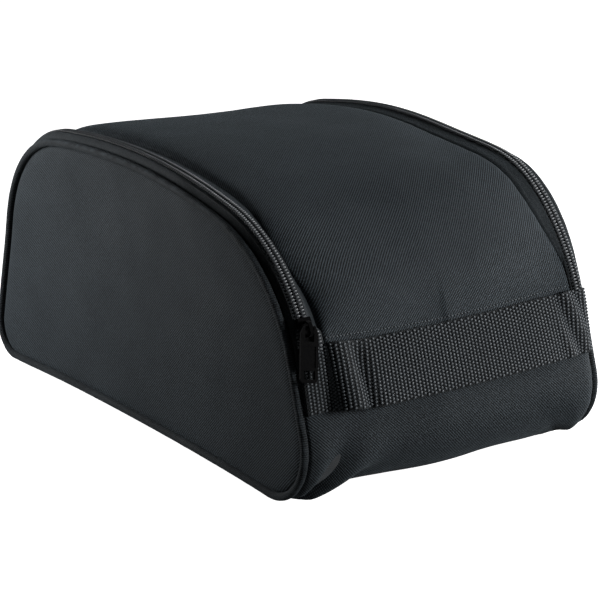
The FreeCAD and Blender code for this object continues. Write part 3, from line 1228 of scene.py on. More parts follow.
        def seam(x: Array, rise: float) -> Array:
            """Points along the row of stitches."""
            station = 0.72 * self.hem(x) + self.stitch_row
            return self.fit.wrap(x, station, self.lift(x, station) + rise)

        here = seam(x, 0.15 * MM)
        frames = frames_on(here, seam(x + 1 * MM, 0.15 * MM) - here, seam(x, 1 * MM) - here)
        stitch = bead((0.75 * MM, 0.40 * MM, 0.35 * MM))
        obj = repeat("lid_hem_stitches", stitch, frames)
        dress(obj, self.finishes.thread)
        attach(obj, "root")
        return obj


@dataclass
class Zip:
    """The zip: two tapes, two rows of coil, and the cloth bands that hold them."""
    fit: Fit
    finishes: Finishes
    outer_width: float = 7.0 * MM
    inner_width: float = 9.0 * MM
    tape_width: float = 4.6 * MM
    band_thickness: float = 0.7 * MM
    tooth_pitch: float = 1.75 * MM
    turn_in: float = 1.0 * MM      # how far the inner band runs on under the lid's edge

    def _outer_limit(self, run: Array) -> tuple[Array, Array]:
        """Where the outer band ends: at the side seams and at the back panel's seam.

        Args:
            run: distances along the zip line.

        Returns:
            x and station of its edge.
        """
        line, fit = self.fit.zip, self.fit
        x0, s0 = line.place(run, np.zeros_like(run))
        x1, s1 = line.place(run, np.full_like(run, 1 * MM))
        dx, ds = (x1 - x0) / MM, (s1 - s0) / MM
        to_side = np.where(np.abs(dx) > 1e-6,
                           (fit.seam_x - np.abs(x0)) / np.maximum(np.abs(dx), 1e-6), 9.0)
        to_back = np.where(ds > 1e-6, (line.back + fit.back_seam - s0) / np.maximum(ds, 1e-6),
                           9.0)
        reach = np.minimum(to_side, to_back)
        return x0 + dx * reach, s0 + ds * reach

    def outer_band(self) -> bpy.types.Object:
        """Cloth from the coil's outer edge down to the side and back seams.

        Returns:
            The piece.
        """
        line, fit = self.fit.zip, self.fit
        pattern = Pattern("zip_band_outer_cloth", line.length, self.outer_width, 1.0 * MM,
                          self.band_thickness)

        def wrap(a: Array, b: Array) -> Array:
            """Places the flat band between the coil and the seams.

            Args:
                a: flat places across, from the piece's middle.
                b: flat places along, from the piece's middle.

            Returns:
                Points in space.
            """
            run = a + line.length / 2
            share = b / pattern.along + 0.5
            x_line, s_line = line.place(run, 0.0)
            xi, si = line.place(run, fit.coil_half + fit.band_gap + fit.spread(x_line, s_line, 1))
            xo, so = self._outer_limit(run)
            x, station = xi + (xo - xi) * share, si + (so - si) * share
            width = np.hypot(xo - xi, so - si)
            pressed = fit.pressed(x, station)
            top = fit.zip_lift(station) + (0.5 - 0.4 * pressed) * MM
            lift = top + (-0.6 * MM - top) * share ** (1.8 - 0.6 * pressed)
            lift += (0.5 - 0.5 * pressed) * MM * np.sin(share * math.pi)
            lift += 0.22 * MM * ripple(run, share * width, 9 * MM, 2.2) * np.sin(share * math.pi)
            return fit.wrap(x, station, lift)

        def wear(a: Array, b: Array) -> Array:
            """Rubs the band along the coil."""
            return np.exp(-(b + pattern.along / 2) / (1.2 * MM))

        obj = pattern.cut(wrap, wear)
        dress(obj, self.finishes.smooth)
        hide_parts("zip_band_outer")
        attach(obj, "root")
        return obj

    def inner_band(self) -> bpy.types.Object:
        """Cloth from the coil's inner edge to the lid's seam, sunk beside the slider.

        Returns:
            The piece.
        """
        line, fit = self.fit.zip, self.fit
        pattern = Pattern("zip_band_inner_cloth", line.length, self.inner_width, 1.0 * MM,
                          self.band_thickness)

        def wrap(a: Array, b: Array) -> Array:
            """Places the flat band between the coil and the lid's seam.

            Args:
                a: flat places across, from the piece's middle.
                b: flat places along, from the piece's middle.

            Returns:
                Points in space.
            """
            run = a + line.length / 2
            share = b / pattern.along + 0.5
            x_line, s_line = line.place(run, 0.0)
            leg = np.minimum(run, line.length - run) < line.leg
            inset = self.turn_in + np.where(
                leg, line.zip_x - fit.lid_edge_x(s_line, x_line), fit.lid_inset)
            near = np.minimum(fit.coil_half + fit.band_gap + fit.spread(x_line, s_line, -1),
                              inset - 0.8 * MM)
            xi, si = line.place(run, -near)
            xo, so = line.place(run, -inset)
            x, station = xi + (xo - xi) * share, si + (so - si) * share
            top = fit.zip_lift(station) + (0.3 - 0.25 * fit.pressed(x, station)) * MM
            foot = fit.lid_edge_lift(station, x_line) + 0.6 * MM * smooth(
                x_line, 0, 60 * MM) - 0.5 * MM
            lift = top + (foot - top) * smooth(share, 0.0, 0.8)
            lift -= 0.9 * MM * smooth(share, 0.75, 1.0)
            lift += 0.2 * MM * ripple(run, share, 8 * MM, 6.2) * np.sin(share * math.pi)
            return fit.wrap(x, station, lift)

        obj = pattern.cut(wrap)
        dress(obj, self.finishes.smooth)
        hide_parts("zip_band_inner", "zip_band_front_ends")
        return obj

    def tape(self, name: str, side: int) -> bpy.types.Object:
        """One woven tape, under the coil and showing at its edge.

        Args:
            name: the piece's name.
            side: 1 for the outer half, -1 for the inner half.

        Returns:
            The piece.
        """
        line, fit = self.fit.zip, self.fit
        pattern = Pattern(name, line.length, self.tape_width, 1.0 * MM, 0.45 * MM)

        def wrap(a: Array, b: Array) -> Array:
            """Places the flat tape beside the zip line.

            Args:
                a: flat places across, from the piece's middle.
                b: flat places along, from the piece's middle.

            Returns:
                Points in space.
            """
            run = a + line.length / 2
            x_line, s_line = line.place(run, 0.0)
            out = side * (b + pattern.along / 2 + 0.15 * MM
                          + fit.spread(x_line, s_line, side))
            x, station = line.place(run, out)
            return fit.wrap(x, station, fit.zip_lift(station) - 0.1 * MM)

        obj = pattern.cut(wrap)
        dress(obj, self.finishes.tape)
        return obj

    def coil(self, name: str, side: int) -> bpy.types.Object:
        """One row of coil: a bar-shaped tooth for each turn of the nylon.

        Args:
            name: the piece's name.
            side: 1 for the outer half, -1 for the inner half.

        Returns:
            The piece.
        """
        line, fit = self.fit.zip, self.fit
        pitch = self.tooth_pitch
        run = np.arange(0.5 * pitch, line.length, pitch) + (0 if side > 0 else 0.5 * pitch)
        run = run[run < line.length - 0.2 * MM]
        x_line, s_line = line.place(run, 0.0)
        middle = side * (fit.coil_half / 2 + 0.12 * MM + fit.spread(x_line, s_line, side))
        ends = []
        for shift_out, shift_lift in ((0, 0), (side * MM, 0), (0, MM)):
            x, station = line.place(run, middle + shift_out)
            lift = fit.zip_lift(station) + 0.62 * fit.coil_height + shift_lift
            ends.append(fit.wrap(x, station, lift))
        tooth = bead((fit.coil_half * 0.53, 0.42 * pitch, 0.5 * fit.coil_height), 8, 6)
        shaped = read_points(tooth)
        shaped[:, 0] = np.sign(shaped[:, 0]) * np.abs(shaped[:, 0] / MM) ** 0.72 * MM
        write_points(tooth, shaped)
        obj = repeat(name, tooth, frames_on(ends[0], ends[1] - ends[0], ends[2] - ends[0]))
        dress(obj, self.finishes.coil)
        return obj

    def build(self) -> list[bpy.types.Object]:
        """Makes every piece of the zip; the outer half is attached to the bag and the inner half
        handed back.

        Returns:
            The pieces of the inner half.
        """
        outer = [self.outer_band(), self.tape("zip_tape_outer_cloth", 1),
                 self.coil("zip_coil_outer_teeth", 1)]
        inner = [self.inner_band(), self.tape("zip_tape_inner_cloth", -1),
                 self.coil("zip_coil_inner_teeth", -1)]
        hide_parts("zip_tape_outer")
        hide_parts("zip_coil_outer")
        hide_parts("zip_tape_inner", "zip_tape_front_ends")
        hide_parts("zip_coil_inner", "zip_coil_front_ends")
        for obj in outer[1:]:
            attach(obj, "root")
        return inner


class Side(Enum):
    """Left and right as signs of X."""
    LEFT = -1
    RIGHT = 1

    @property
    def label(self) -> str:
        """Lower-case name."""
        return self.name.lower()


@dataclass
class SidePanel:
    """One side: stiffened outer panel, piping round it, lining and seam binding."""
    side: Side
    fit: Fit
    finishes: Finishes
    wide: float = 340.0 * MM       # the flat square that a plate starts as
    high: float = 152.0 * MM
    rim_x: float = 98.0 * MM
    cloth_x: float = 101.3 * MM    # x of each layer's outer face
    foam_x: float = 99.9 * MM
    lining_x: float = 96.8 * MM
    binding_x: float = 92.9 * MM
    cloth_inset: float = 4.0 * MM  # how far each layer stops short of the profile
    foam_inset: float = 8.0 * MM
    lining_inset: float = 4.8 * MM
    binding_width: float = 7.5 * MM
    hub: tuple[float, float, float] = (0.0, 2.0 * MM, 70.0 * MM)

    def _rim_station(self, u: Array, v: Array) -> Array:
        """Station that a place on the rim of the flat square is wrapped to.

        Args:
            u: places across the flat square, -1 to 1.
            v: places along the flat square, -1 to 1.

        Returns:
            Stations.
        """
        profile, wide, high = self.fit.profile, self.wide, self.high
        top, right = np.abs(v) >= np.abs(u), u > 0
        way = np.where(top, np.where(v > 0, (u / np.abs(v) + 1) / 2 * wide,
                                     wide + high + (1 - u / np.abs(v)) / 2 * wide),
                       np.where(right, wide + (1 - v / np.abs(u)) / 2 * high,
                                2 * wide + high + (v / np.abs(u) + 1) / 2 * high))
        first = profile.on_brow(135)
        marks = [first, profile.on_shoulder(42),
                 profile.base_begin - 0.8 * profile.rear_foot_r,
                 profile.base_end + 0.65 * profile.front_foot_r, first + profile.length]
        return np.interp(way, (0, wide, wide + high, 2 * wide + high, 2 * (wide + high)), marks)

    def _plate(self, name: str, face_x: Callable[[Array, Array, Array], Array], inset: float,
               thickness: float) -> bpy.types.Object:
        """A plate that fills the profile, its rows running parallel to the rim.

        Args:
            name: the piece's name.
            face_x: gives the outer face's distance from the middle of the bag.
            inset: how far it stops short of the profile.
            thickness: its thickness.

        Returns:
            The piece.
        """
        fit = self.fit
        pattern = Pattern(name, self.wide, self.high, 2.6 * MM, thickness)
        hand = self.side.value

        def wrap(a: Array, b: Array) -> Array:
            """Places the flat square inside the rim of the profile.

            Args:
                a: flat places across, from the piece's middle.
                b: flat places along, from the piece's middle.

            Returns:
                Points in space.
            """
            u, v = 2 * a / pattern.across, 2 * b / pattern.along
            v = np.where((np.abs(u) < 1e-6) & (np.abs(v) < 1e-6), 1e-6, v)
            r = np.maximum(np.abs(u), np.abs(v))
            station = self._rim_station(u, v)
            rim = fit.wrap(hand * self.rim_x, station, -inset)
            share = 1 - (1 - np.clip(r, 0, 1)) ** 1.4
            hub = np.array(self.hub)
            point = hub + (rim - hub) * share[:, None]
            depth = np.linalg.norm(point[:, 1:] - rim[:, 1:], axis=1) * 0.8
            pull = hand * (hand * self.rim_x - rim[:, 0]) * np.exp(-depth / (20 * MM))
            point[:, 0] = hand * (face_x(depth, point[:, 1], point[:, 2]) - pull)
            return point

        def wear(a: Array, b: Array) -> Array:
            """Rubs the plate along its rim."""
            side = np.minimum(pattern.across / 2 - np.abs(a), pattern.along / 2 - np.abs(b))
            return np.exp(-side / (1.5 * MM)) * 0.5

        obj = pattern.cut(wrap, wear)
        points, uv = read_points(obj), obj.data.uv_layers["UVMap"].data
        corner = np.empty(len(obj.data.loops), int)
        obj.data.loops.foreach_get("vertex_index", corner)
        uv.foreach_set("uv", points[corner][:, 1:].ravel())
        return obj

    def panel(self) -> bpy.types.Object:
        """The outer cloth over its foam: flat, with rolled edges and faint waves.

        Returns:
            The piece.
        """
        def face_x(depth: Array, y: Array, z: Array) -> Array:
            """Distance of the cloth's face from the middle of the bag.

            Args:
                depth: distances in from the rim.
                y: places along Y.
                z: heights.

            Returns:
                Distances.
            """
            rolled = 2.4 * MM * np.exp(-depth / (2.2 * MM))
            wave = 0.5 * MM * ripple(y, z, 90 * MM, 5.0 + self.side.value)
            ease = 0.18 * MM * ripple(y, z, 24 * MM, 9.0 + self.side.value)
            return self.cloth_x - rolled + (wave + ease) * smooth(depth, 0, 18 * MM)

        obj = self._plate(self.side.label + "_side_cloth", face_x, self.cloth_inset,
                          0.8 * MM)
        dress(obj, self.finishes.side)
        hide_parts(self.side.label + "_side_panel")
        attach(obj, "root")
        return obj

    def foam(self) -> bpy.types.Object:
        """The foam that stiffens the side.

        Returns:
            The piece.
        """
        obj = self._plate(self.side.label + "_side_foam_pad",
                          lambda depth, y, z: self.foam_x + 0 * depth, self.foam_inset,
                          2.8 * MM)
        dress(obj, self.finishes.foam)
        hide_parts(self.side.label + "_side_foam")
        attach(obj, "root")
        return obj

    def lining(self) -> bpy.types.Object:
        """The lining on the inside of the side.

        Returns:
            The piece.
        """
        obj = self._plate(self.side.label + "_side_lining_cloth",
                          lambda depth, y, z: self.lining_x + 0 * depth, self.lining_inset,
                          0.4 * MM)
        dress(obj, self.finishes.lining)
        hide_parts(self.side.label + "_side_lining")
        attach(obj, "root")
        size, area = self._outline(self.lining_inset)
        return obj

    def _outline(self, inset: float) -> tuple[tuple[float, float], float]:
        """Cut size of a panel inside the side profile.

        Args:
            inset: distance of its edge inside the profile.

        Returns:
            Its height and length, and its area.
        """
        station = np.linspace(0, self.fit.profile.length, 600, endpoint=False)
        y, z = self.fit.profile.wrap(0, station, -inset)[:, 1:].T
        area = 0.5 * abs(float(np.sum(y * np.roll(z, -1) - z * np.roll(y, -1))))
        return (float(np.ptp(z)), float(np.ptp(y))), area

    def piping(self) -> bpy.types.Object:
        """Cloth-covered cord all round the seam, slightly uneven where it turns.

        Returns:
            The piece.
        """
        fit, profile = self.fit, self.fit.profile
        girth = 2 * math.pi * fit.piping_r
        pattern = Pattern(self.side.label + "_piping_cloth", profile.length, girth, 0.9 * MM)

        def wrap(a: Array, b: Array) -> Array:
            """Rolls the flat cover round its cord.

            Args:
                a: flat places across, from the piece's middle.
                b: flat places along, from the piece's middle.

            Returns:
                Points in space.
            """
            station = a + profile.length / 2
            angle = b / girth * 2 * math.pi
            radius = fit.piping_r * (1 + 0.05 * ripple(station, angle * MM, 7 * MM, 1.0))
            x = self.side.value * (fit.piping_x + radius * np.cos(angle))
            return fit.wrap(x, station, -fit.piping_r + radius * np.sin(angle))

        def wear(a: Array, b: Array) -> Array:
            """Rubs the crown of the piping."""
            return np.maximum(np.cos(b / girth * 2 * math.pi - 0.8), 0) ** 6 * 0.6

        obj = pattern.cut(wrap, wear, closed=True)
        # its finish is darker than the sides' twill as painted shade along the seam
        dress(obj, self.finishes.piping)
        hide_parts(self.side.label + "_piping_cover", self.side.label + "_piping_cord")
        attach(obj, "root")
        return obj

    def binding(self) -> bpy.types.Object:
        """Folded tape over the raw seam inside the bag.

        Returns:
            The piece.
        """
        profile = self.fit.profile
        pattern = Pattern(self.side.label + "_binding_tape", profile.length,
                          self.binding_width, 2.0 * MM, 1.2 * MM)

        def wrap(a: Array, b: Array) -> Array:
            """Places the flat tape inside the seam.

            Args:
                a: flat places across, from the piece's middle.
                b: flat places along, from the piece's middle.

            Returns:
                Points in space.
            """
            station = a + profile.length / 2
            x = self.side.value * (self.binding_x + b)
            lift = -2.2 * MM + 0.25 * MM * ripple(station, b, 12 * MM, 3.3)
            return self.fit.wrap(x, station, lift)

        obj = pattern.cut(wrap)
        dress(obj, self.finishes.binding)
        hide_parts(self.side.label + "_seam_binding")
        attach(obj, "root")
        return obj

    def build(self) -> list[bpy.types.Object]:
        """Makes every piece of the side."""
        return [self.panel(), self.foam(), self.piping(), self.lining(), self.binding()]


@dataclass(frozen=True)
class Fold:
    """A soft fold that runs out from a lower front corner."""
    hand: int                      # -1 from the left corner, 1 from the right one
    heading: float                 # degrees up from straight across
    spread: float                  # degrees of its width, added to the least width
    height: float


FRONT_FOLDS = (
    Fold(-1, 15, 5.0, -0.8 * MM), Fold(-1, 33, 5.0, -4.0 * MM), Fold(-1, 51, 6.0, 4.0 * MM),
    Fold(-1, 67, 4.5, -5.0 * MM), Fold(-1, 81, 4.0, 1.4 * MM), Fold(1, 20, 4.0, 1.4 * MM),
    Fold(1, 48, 4.0, -1.2 * MM), Fold(1, 70, 4.0, 0.9 * MM))


@dataclass
class Gusset:
    """The long panel down the front, under the base and up the back."""
    fit: Fit
    finishes: Finishes
    pull_in: float = 2.4 * MM      # how far the seams are pulled in
    lining_half: float = 97.0 * MM
    least_spread: float = 3.0
    fold_root: float = 4.0 * MM    # height of the corner that the folds fan out from
    start: float = field(init=False)
    end: float = field(init=False)

    def __post_init__(self) -> None:
        """Finds the stations of the panel's two ends."""
        self.start = self.fit.zip.back + self.fit.back_seam
        self.end = self.fit.profile.length

    def lift(self, x: Array, station: Array) -> Array:
        """Height of the outer face: pulled in at the seams, folded low on the front.

        Args:
            x: places along X.
            station: distances along the profile from the hem.

        Returns:
            Heights above the profile.
        """
        fit, profile = self.fit, self.fit.profile
        side = np.clip(fit.seam_x - np.abs(x), 0, None)
        lift = 0.5 * MM - self.pull_in * np.exp(-side / (3.2 * MM))
        base = np.clip((station - profile.base_begin) / (profile.base_end - profile.base_begin),
                       0, 1)
        on_wall = smooth(np.abs(base - 0.5), 0.45, 0.50)
        lift += 0.9 * MM * ripple(x, station, 60 * MM, 12.0) * on_wall * smooth(side, 0, 25 * MM)
        lift += 0.3 * MM * ripple(x, station, 18 * MM, 15.0) * on_wall * smooth(side, 0, 8 * MM)
        pucker = np.exp(-side / (7 * MM)) * ripple(station, np.sign(x) * 0.1, 9 * MM, 7.0)
        lift += 0.5 * MM * pucker * on_wall
        return lift + self.folds(x, station) * on_wall

    def folds(self, x: Array, station: Array) -> Array:
        """Soft folds that fan out from the two lower front corners.

        Args:
            x: places along X.
            station: distances along the profile from the hem.

        Returns:
            Heights to add.
        """
        up = station - self.fit.profile.base_end - self.fold_root
        total = np.zeros_like(x)
        for fold in FRONT_FOLDS:
            along = fold.hand * (self.fit.seam_x * fold.hand - x)
            away = np.hypot(along, up)
            angle = np.degrees(np.arctan2(up, along))
            ridge = np.exp(-((angle - fold.heading) / (fold.spread + self.least_spread)) ** 2)
            fade = smooth(away, 4 * MM, 22 * MM) * smooth(away, 85 * MM, 25 * MM)
            total += fold.height * ridge * fade
        return total

    def cloth(self) -> bpy.types.Object:
        """The outer cloth.

        Returns:
            The piece.
        """
        profile, fit = self.fit.profile, self.fit
        pattern = Pattern("gusset_cloth", 2 * fit.seam_x, self.end - self.start, 2.0 * MM)

        def wrap(a: Array, b: Array) -> Array:
            """Places the flat cloth round the base."""
            station = self.start + b + pattern.along / 2
            return fit.wrap(a, station, self.lift(a, station))

        def wear(a: Array, b: Array) -> Array:
            """Rubs the front foot and the side seams.

            Args:
                a: flat places across, from the piece's middle.
                b: flat places along, from the piece's middle.

            Returns:
                The wear mask.
            """
            station = self.start + b + pattern.along / 2
            foot = np.exp(-((station - profile.base_end - 20 * MM) / (16 * MM)) ** 2)
            return 0.5 * foot + 0.4 * np.exp(-(fit.seam_x - np.abs(a)) / (2 * MM))

        obj = pattern.cut(wrap, wear)
        dress(obj, self.finishes.gusset)
        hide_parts("gusset_panel")
        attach(obj, "root")
        return obj

    def lining(self) -> bpy.types.Object:
        """The lining inside the front, base and back.

        Returns:
            The piece.
        """
        pattern = Pattern("gusset_lining_cloth", 2 * self.lining_half,
                          self.end - self.start - 2 * MM, 4.0 * MM, 0.4 * MM)

        def wrap(a: Array, b: Array) -> Array:
            """Places the flat lining inside the cloth.

            Args:
                a: flat places across, from the piece's middle.
                b: flat places along, from the piece's middle.

            Returns:
                Points in space.
            """
            station = self.start + b + pattern.along / 2
            lift = -1.9 * MM + 0.3 * MM * ripple(a, station, 35 * MM, 2.0)
            return self.fit.wrap(a, station, lift)

        obj = pattern.cut(wrap)
        dress(obj, self.finishes.lining)
        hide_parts("gusset_lining")
        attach(obj, "root")
        return obj

    def build(self) -> list[bpy.types.Object]:
        """Makes the cloth and the lining."""
        return [self.cloth(), self.lining()]


@dataclass(frozen=True)
class Bend:
    """A place on the carry strap's route, in millimetres."""
    way: float                     # along the strap from the left seam
    top_x: float
    top_lift: float
    foot_x: float                  # the same at its lower edge
    foot_lift: float
    drop: float                    # below the height that it is sewn at


STRAP_ROUTE = (
    Bend(0, -97.6, 2.2, -97.6, 0.6, 0.0), Bend(7, -90.6, 2.4, -90.6, 0.9, 0.0),
    Bend(14, -83.6, 2.0, -83.6, 1.0, 0.0), Bend(17.5, -80.4, 1.8, -80.4, 1.8, 0.0),
    Bend(20.5, -79.2, 2.6, -78.4, 4.2, 0.1), Bend(23.5, -78.4, 5.0, -78.3, 7.2, 0.3),
    Bend(27, -75.6, 6.2, -77.0, 10.3, 0.6), Bend(31, -71.2, 6.4, -73.8, 12.2, 1.0),
    Bend(40, -59.4, 4.3, -65.0, 12.6, 2.0), Bend(70, -30.2, 4.6, -34.6, 11.6, 2.6),
    Bend(105, 3.4, 4.6, 0.4, 10.6, 2.6), Bend(140, 37.0, 4.4, 35.4, 9.8, 2.0),
    Bend(168, 63.4, 4.0, 63.0, 8.2, 1.0), Bend(184, 78.8, 3.6, 78.6, 5.2, 0.6),
    Bend(195, 89.2, 3.4, 89.2, 2.2, 0.1), Bend(204, 97.4, 2.6, 97.4, 0.8, 0.0))


@dataclass
class CarryStrap:
    """The webbing strap: sewn ends, folds beside them, and a free middle that lifts."""
    fit: Fit
    finishes: Finishes
    width: float = 35.6 * MM
    thickness: float = 1.2 * MM
    column: float = 2.34 * MM      # spacing of the stitch columns and rows
    row: float = 1.82 * MM
    lean: float = 0.42             # sideways lean of a stitch, as a share of its length
    middle: float = 102.0 * MM     # where the two halves meet
    fixed_x: float = 78.0 * MM     # the strap's sewn ends lie beyond this x
    free_x: float = 22.0 * MM      # and its free middle inside this one

    def _along(self, value: str, way: Array) -> Array:
        """A value of the route at distances along the strap, in metres."""
        return through(way / MM, [(b.way, getattr(b, value)) for b in STRAP_ROUTE]) * MM

    def point(self, way: Array, down: Array) -> Array:
        """Place of the strap's inner face.

        Args:
            way: distance along the strap from the left seam.
            down: distance from the upper edge, across the width.

        Returns:
            Points in space.
        """
        share = down / self.width
        x = self._along("top_x", way) * (1 - share) + self._along("foot_x", way) * share
        lift = (self._along("top_lift", way) * (1 - share)
                + self._along("foot_lift", way) * share)
        top = self.fit.profile.length + 0.4 * MM - self._along("drop", way)
        wrinkle = smooth(way, 172 * MM, 182 * MM) * smooth(way, 203 * MM, 194 * MM)
        lift = lift + 1.2 * MM * wrinkle * np.sin((way - 0.40 * down) / (2.6 * MM))
        crease = np.exp(-((way - 35.5 * MM - 0.16 * down) / (4.2 * MM)) ** 2)
        lift = lift - 3.0 * MM * crease * smooth(down, -6 * MM, 12 * MM)
        return self.fit.wrap(x, top - down, lift)

    def face(self, way: Array, down: Array) -> tuple[Array, Array, Array]:
        """Inner face, the way ahead and the outward direction at places on the strap.

        Args:
            way: distances along the strap from the left seam.
            down: distances from the strap's upper edge.

        Returns:
            Points, ways ahead and outward directions.
        """
        inner = self.point(way, down)
        ahead = self.point(way + 0.5 * MM, down) - self.point(way - 0.5 * MM, down)
        across = self.point(way, down + 0.5 * MM) - self.point(way, down - 0.5 * MM)
        normal = np.cross(across, ahead)
        normal /= np.linalg.norm(normal, axis=1, keepdims=True)
        return inner, ahead, normal

    def backing(self, name: str, start: float, end: float) -> bpy.types.Object:
        """The dense body of one half of the strap, near black as painted shade in the gaps
        between its stitches.

        Args:
            name: the piece's name.
            start: where it starts.
            end: where it ends.

        Returns:
            The piece.
        """
        pattern = Pattern(name, end - start, self.width, 1.1 * MM, self.thickness,
                          Vector((0, 0.2, 0.07)))

        def wrap(a: Array, b: Array) -> Array:
            """Places the flat webbing's outer face."""
            inner, _, normal = self.face(a + (start + end) / 2, self.width / 2 - b)
            return inner + normal * self.thickness

        obj = pattern.cut(wrap)
        # near-black finish: painted shade between the stitches
        dress(obj, self.finishes.backing)
        return obj

    def weave(self, name: str, start: float, end: float) -> bpy.types.Object:
        """The raised stitches of one half: columns across the strap, leaning by turns.

        Args:
            name: the piece's name.
            start: where it starts.
            end: where it ends.

        Returns:
            The piece.
        """
        columns = np.arange(math.ceil(start / self.column + 0.25),
                            (end / self.column) - 0.2)
        rows = np.arange(0.5, self.width / self.row - 0.1)
        column, row = [g.ravel() for g in np.meshgrid(columns, rows)]
        odd = np.mod(column, 2)
        way = column * self.column
        down = np.clip((row + 0.5 * odd) * self.row, 0.4 * MM, self.width - 0.4 * MM)
        inner, ahead, normal = self.face(way, down)
        lean = np.where(odd > 0, self.lean, -self.lean)
        side = np.cross(normal, ahead)
        side /= np.linalg.norm(side, axis=1, keepdims=True)
        ahead = ahead / np.linalg.norm(ahead, axis=1, keepdims=True)
        ahead = ahead + side * lean[:, None]
        centre = inner + normal * (self.thickness + 0.05 * MM)
        stitch = bead((0.94 * MM, 0.74 * MM, 0.66 * MM))
        obj = repeat(name, stitch, frames_on(centre, ahead, normal))
        dress(obj, self.finishes.webbing)
        return obj

    def build(self) -> list[bpy.types.Object]:
        """Makes both halves; each bends between the bag and the lifted middle.

        Returns:
            The four pieces.
        """
        end, middle = STRAP_ROUTE[-1].way * MM, self.middle
        made = []
        for label, hand, span in (("left", -1, (0.0, middle)), ("right", 1, (middle, end))):
            body = self.backing("carry_strap_" + label, *span)
            stitches = self.weave("carry_strap_weave_" + label, *span)
            for obj in (body, stitches):
                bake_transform(obj)
            made += [body, stitches]
        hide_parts("handle_end_left", "handle_strap")
        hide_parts("handle_end_right")
        return made


# ---------------------------------------------------------------- studio

@dataclass(frozen=True)
class SoftBox:
    """A square area light, in metres and watts."""
    name: str
    place: tuple[float, float, float]
    size: float
    power: float

    def hang(self, aim: Vector) -> None:
        """Adds the light.

        Args:
            aim: the point that it is turned towards.
        """
        data = bpy.data.lights.new(self.name, "AREA")
        data.shape, data.size, data.energy = "SQUARE", self.size, self.power
        light = bpy.data.objects.new(self.name, data)
        light.location = self.place
        light.rotation_mode = "QUATERNION"
        light.rotation_quaternion = (aim - Vector(self.place)).to_track_quat("-Z", "Y")
        bpy.context.scene.collection.objects.link(light)


SOFT_BOXES = (
    SoftBox("key_right", (1.3, -0.25, 0.43), 0.6, 16.0),
    SoftBox("front_low", (0.55, -0.84, 0.30), 0.25, 8.2),
    SoftBox("left_rear_low", (-0.38, 0.34, 0.17), 0.15, 1.5),
    SoftBox("left_rear_high", (-0.35, 0.29, 0.30), 0.15, 0.55))
WHITE = (1.0, 1.0, 1.0, 1.0)


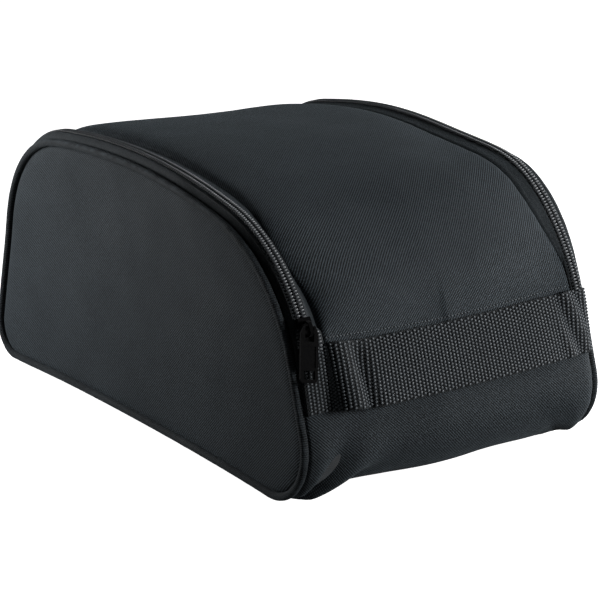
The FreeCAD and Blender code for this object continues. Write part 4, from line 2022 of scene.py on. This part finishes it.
@dataclass
class Studio:
    """Camera, lights and a plain pale floor."""
    azimuth: float = -34.20        # degrees
    elevation: float = 17.49
    target: tuple[float, float, float] = (7.62 * MM, -5.18 * MM, 60.17 * MM)
    distance: float = 1.5489
    lens: float = 157.65           # millimetres, on a sensor 36 wide
    sensor: float = 36.0
    aim: tuple[float, float, float] = (0.0, 0.0, 0.08)
    room: float = 0.02             # strength of the light that the room gives back
    floor_size: float = 8.0

    def camera(self) -> None:
        """A long lens that looks at the bag's front left."""
        a, e = math.radians(self.azimuth), math.radians(self.elevation)
        back = Vector((math.sin(a) * math.cos(e), -math.cos(a) * math.cos(e), math.sin(e)))
        data = bpy.data.cameras.new("camera")
        data.lens, data.sensor_width = self.lens, self.sensor
        data.clip_start, data.clip_end = 0.05, 30.0
        camera = bpy.data.objects.new("camera", data)
        camera.location = Vector(self.target) + back * self.distance
        camera.rotation_mode = "QUATERNION"
        camera.rotation_quaternion = (-back).to_track_quat("-Z", "Y")
        bpy.context.scene.collection.objects.link(camera)
        bpy.context.scene.camera = camera

    def lights(self) -> None:
        """A key from the right, a low front light, and two small ones at the rear left."""
        for box in SOFT_BOXES:
            box.hang(Vector(self.aim))
        world = bpy.data.worlds.new("studio")
        bpy.context.scene.world = world
        world.use_nodes = True
        world.node_tree.nodes.clear()
        graph = Graph(world.node_tree)
        seen = graph.add("ShaderNodeLightPath").outputs["Is Camera Ray"]
        room = graph.add("ShaderNodeBackground", {"Color": WHITE, "Strength": self.room})
        back = graph.add("ShaderNodeBackground", {"Color": WHITE, "Strength": 1.0})
        mixed = graph.add("ShaderNodeMixShader", {0: seen, 1: room.outputs[0],
                                                  2: back.outputs[0]})
        graph.add("ShaderNodeOutputWorld", {"Surface": mixed.outputs[0]})

    def floor(self) -> None:
        """A wide plain floor."""
        bpy.ops.object.select_all(action="DESELECT")
        bpy.ops.mesh.primitive_plane_add(size=self.floor_size, location=(0, 0, 0))
        floor = bpy.context.object
        floor.name = "studio_floor"
        material, graph = new_material("pale_floor")
        paper = graph.add("ShaderNodeBsdfDiffuse", {"Color": (0.9, 0.9, 0.9, 1)})
        glow = graph.add("ShaderNodeEmission", {"Color": WHITE, "Strength": 1.0})
        seen = graph.add("ShaderNodeAddShader", {0: paper.outputs[0], 1: glow.outputs[0]})
        dim = graph.add("ShaderNodeBsdfDiffuse", {"Color": (0.25, 0.25, 0.25, 1)})
        camera = graph.add("ShaderNodeLightPath").outputs["Is Camera Ray"]
        mixed = graph.add("ShaderNodeMixShader", {0: camera, 1: dim.outputs[0],
                                                  2: seen.outputs[0]})
        graph.add("ShaderNodeOutputMaterial", {"Surface": mixed.outputs[0]})
        floor.data.materials.append(material)


FOLD_ANGLE = 144.0                          # degrees on the brow arc


def bend_with_lid(obj: bpy.types.Object, profile: SideProfile) -> None:
    """Bakes a piece's transform into its mesh; the lid fold's hinge and the profile on each side
    of it are found but not used.

    Args:
        obj: a piece that runs from the body of the bag on to the lid.
        profile: the bag's side profile.
    """
    fold = next(j for j in frame["joints"] if j["name"] == "lid_fold")
    hinge = Vector(fold["pos_m"])
    ahead, behind = (profile.wrap(0, profile.on_brow(FOLD_ANGLE + turn), 0.0)
                     for turn in (-1.0, 1.0))
    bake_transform(obj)


def finish_hard_parts(finishes: Finishes) -> None:
    """Gives the hard parts, which keep their shape, their finishes.

    Args:
        finishes: the bag's materials.
    """
    slider = ("slider_body", "slider_back_plate", "slider_bridge", "pull_tab")
    for names, material in ((("base_board",), finishes.board), (slider, finishes.slider)):
        for name in names:
            for slot in frame["nodes"][name].material_slots:
                slot.material = material


def main() -> None:
    """Builds the studio and the bag, and reports each piece."""
    logging.basicConfig(level=logging.INFO, format="%(name)s %(message)s")
    bpy.context.scene.view_settings.view_transform = "Standard"
    studio = Studio()
    studio.camera()
    studio.lights()
    studio.floor()
    finishes = Finishes()
    profile = SideProfile()
    fit = Fit(profile, ZipLine(profile))

    pieces: list[bpy.types.Object] = []
    for side in Side:
        pieces += SidePanel(side, fit, finishes).build()
    pieces += Gusset(fit, finishes).build()
    bending = Zip(fit, finishes).build()
    lid = LidPanel(fit, finishes)
    bending += [lid.cloth(), lid.foam(), lid.lining()]
    pieces.append(lid.topstitch())
    for obj in bending:
        bend_with_lid(obj, profile)
    pieces += bending
    pieces += CarryStrap(fit, finishes).build()
    finish_hard_parts(finishes)
    for obj in pieces:
        LOG.info("%s: %d faces", obj.name, len(obj.data.polygons))


if __name__ == "__main__":
    main()
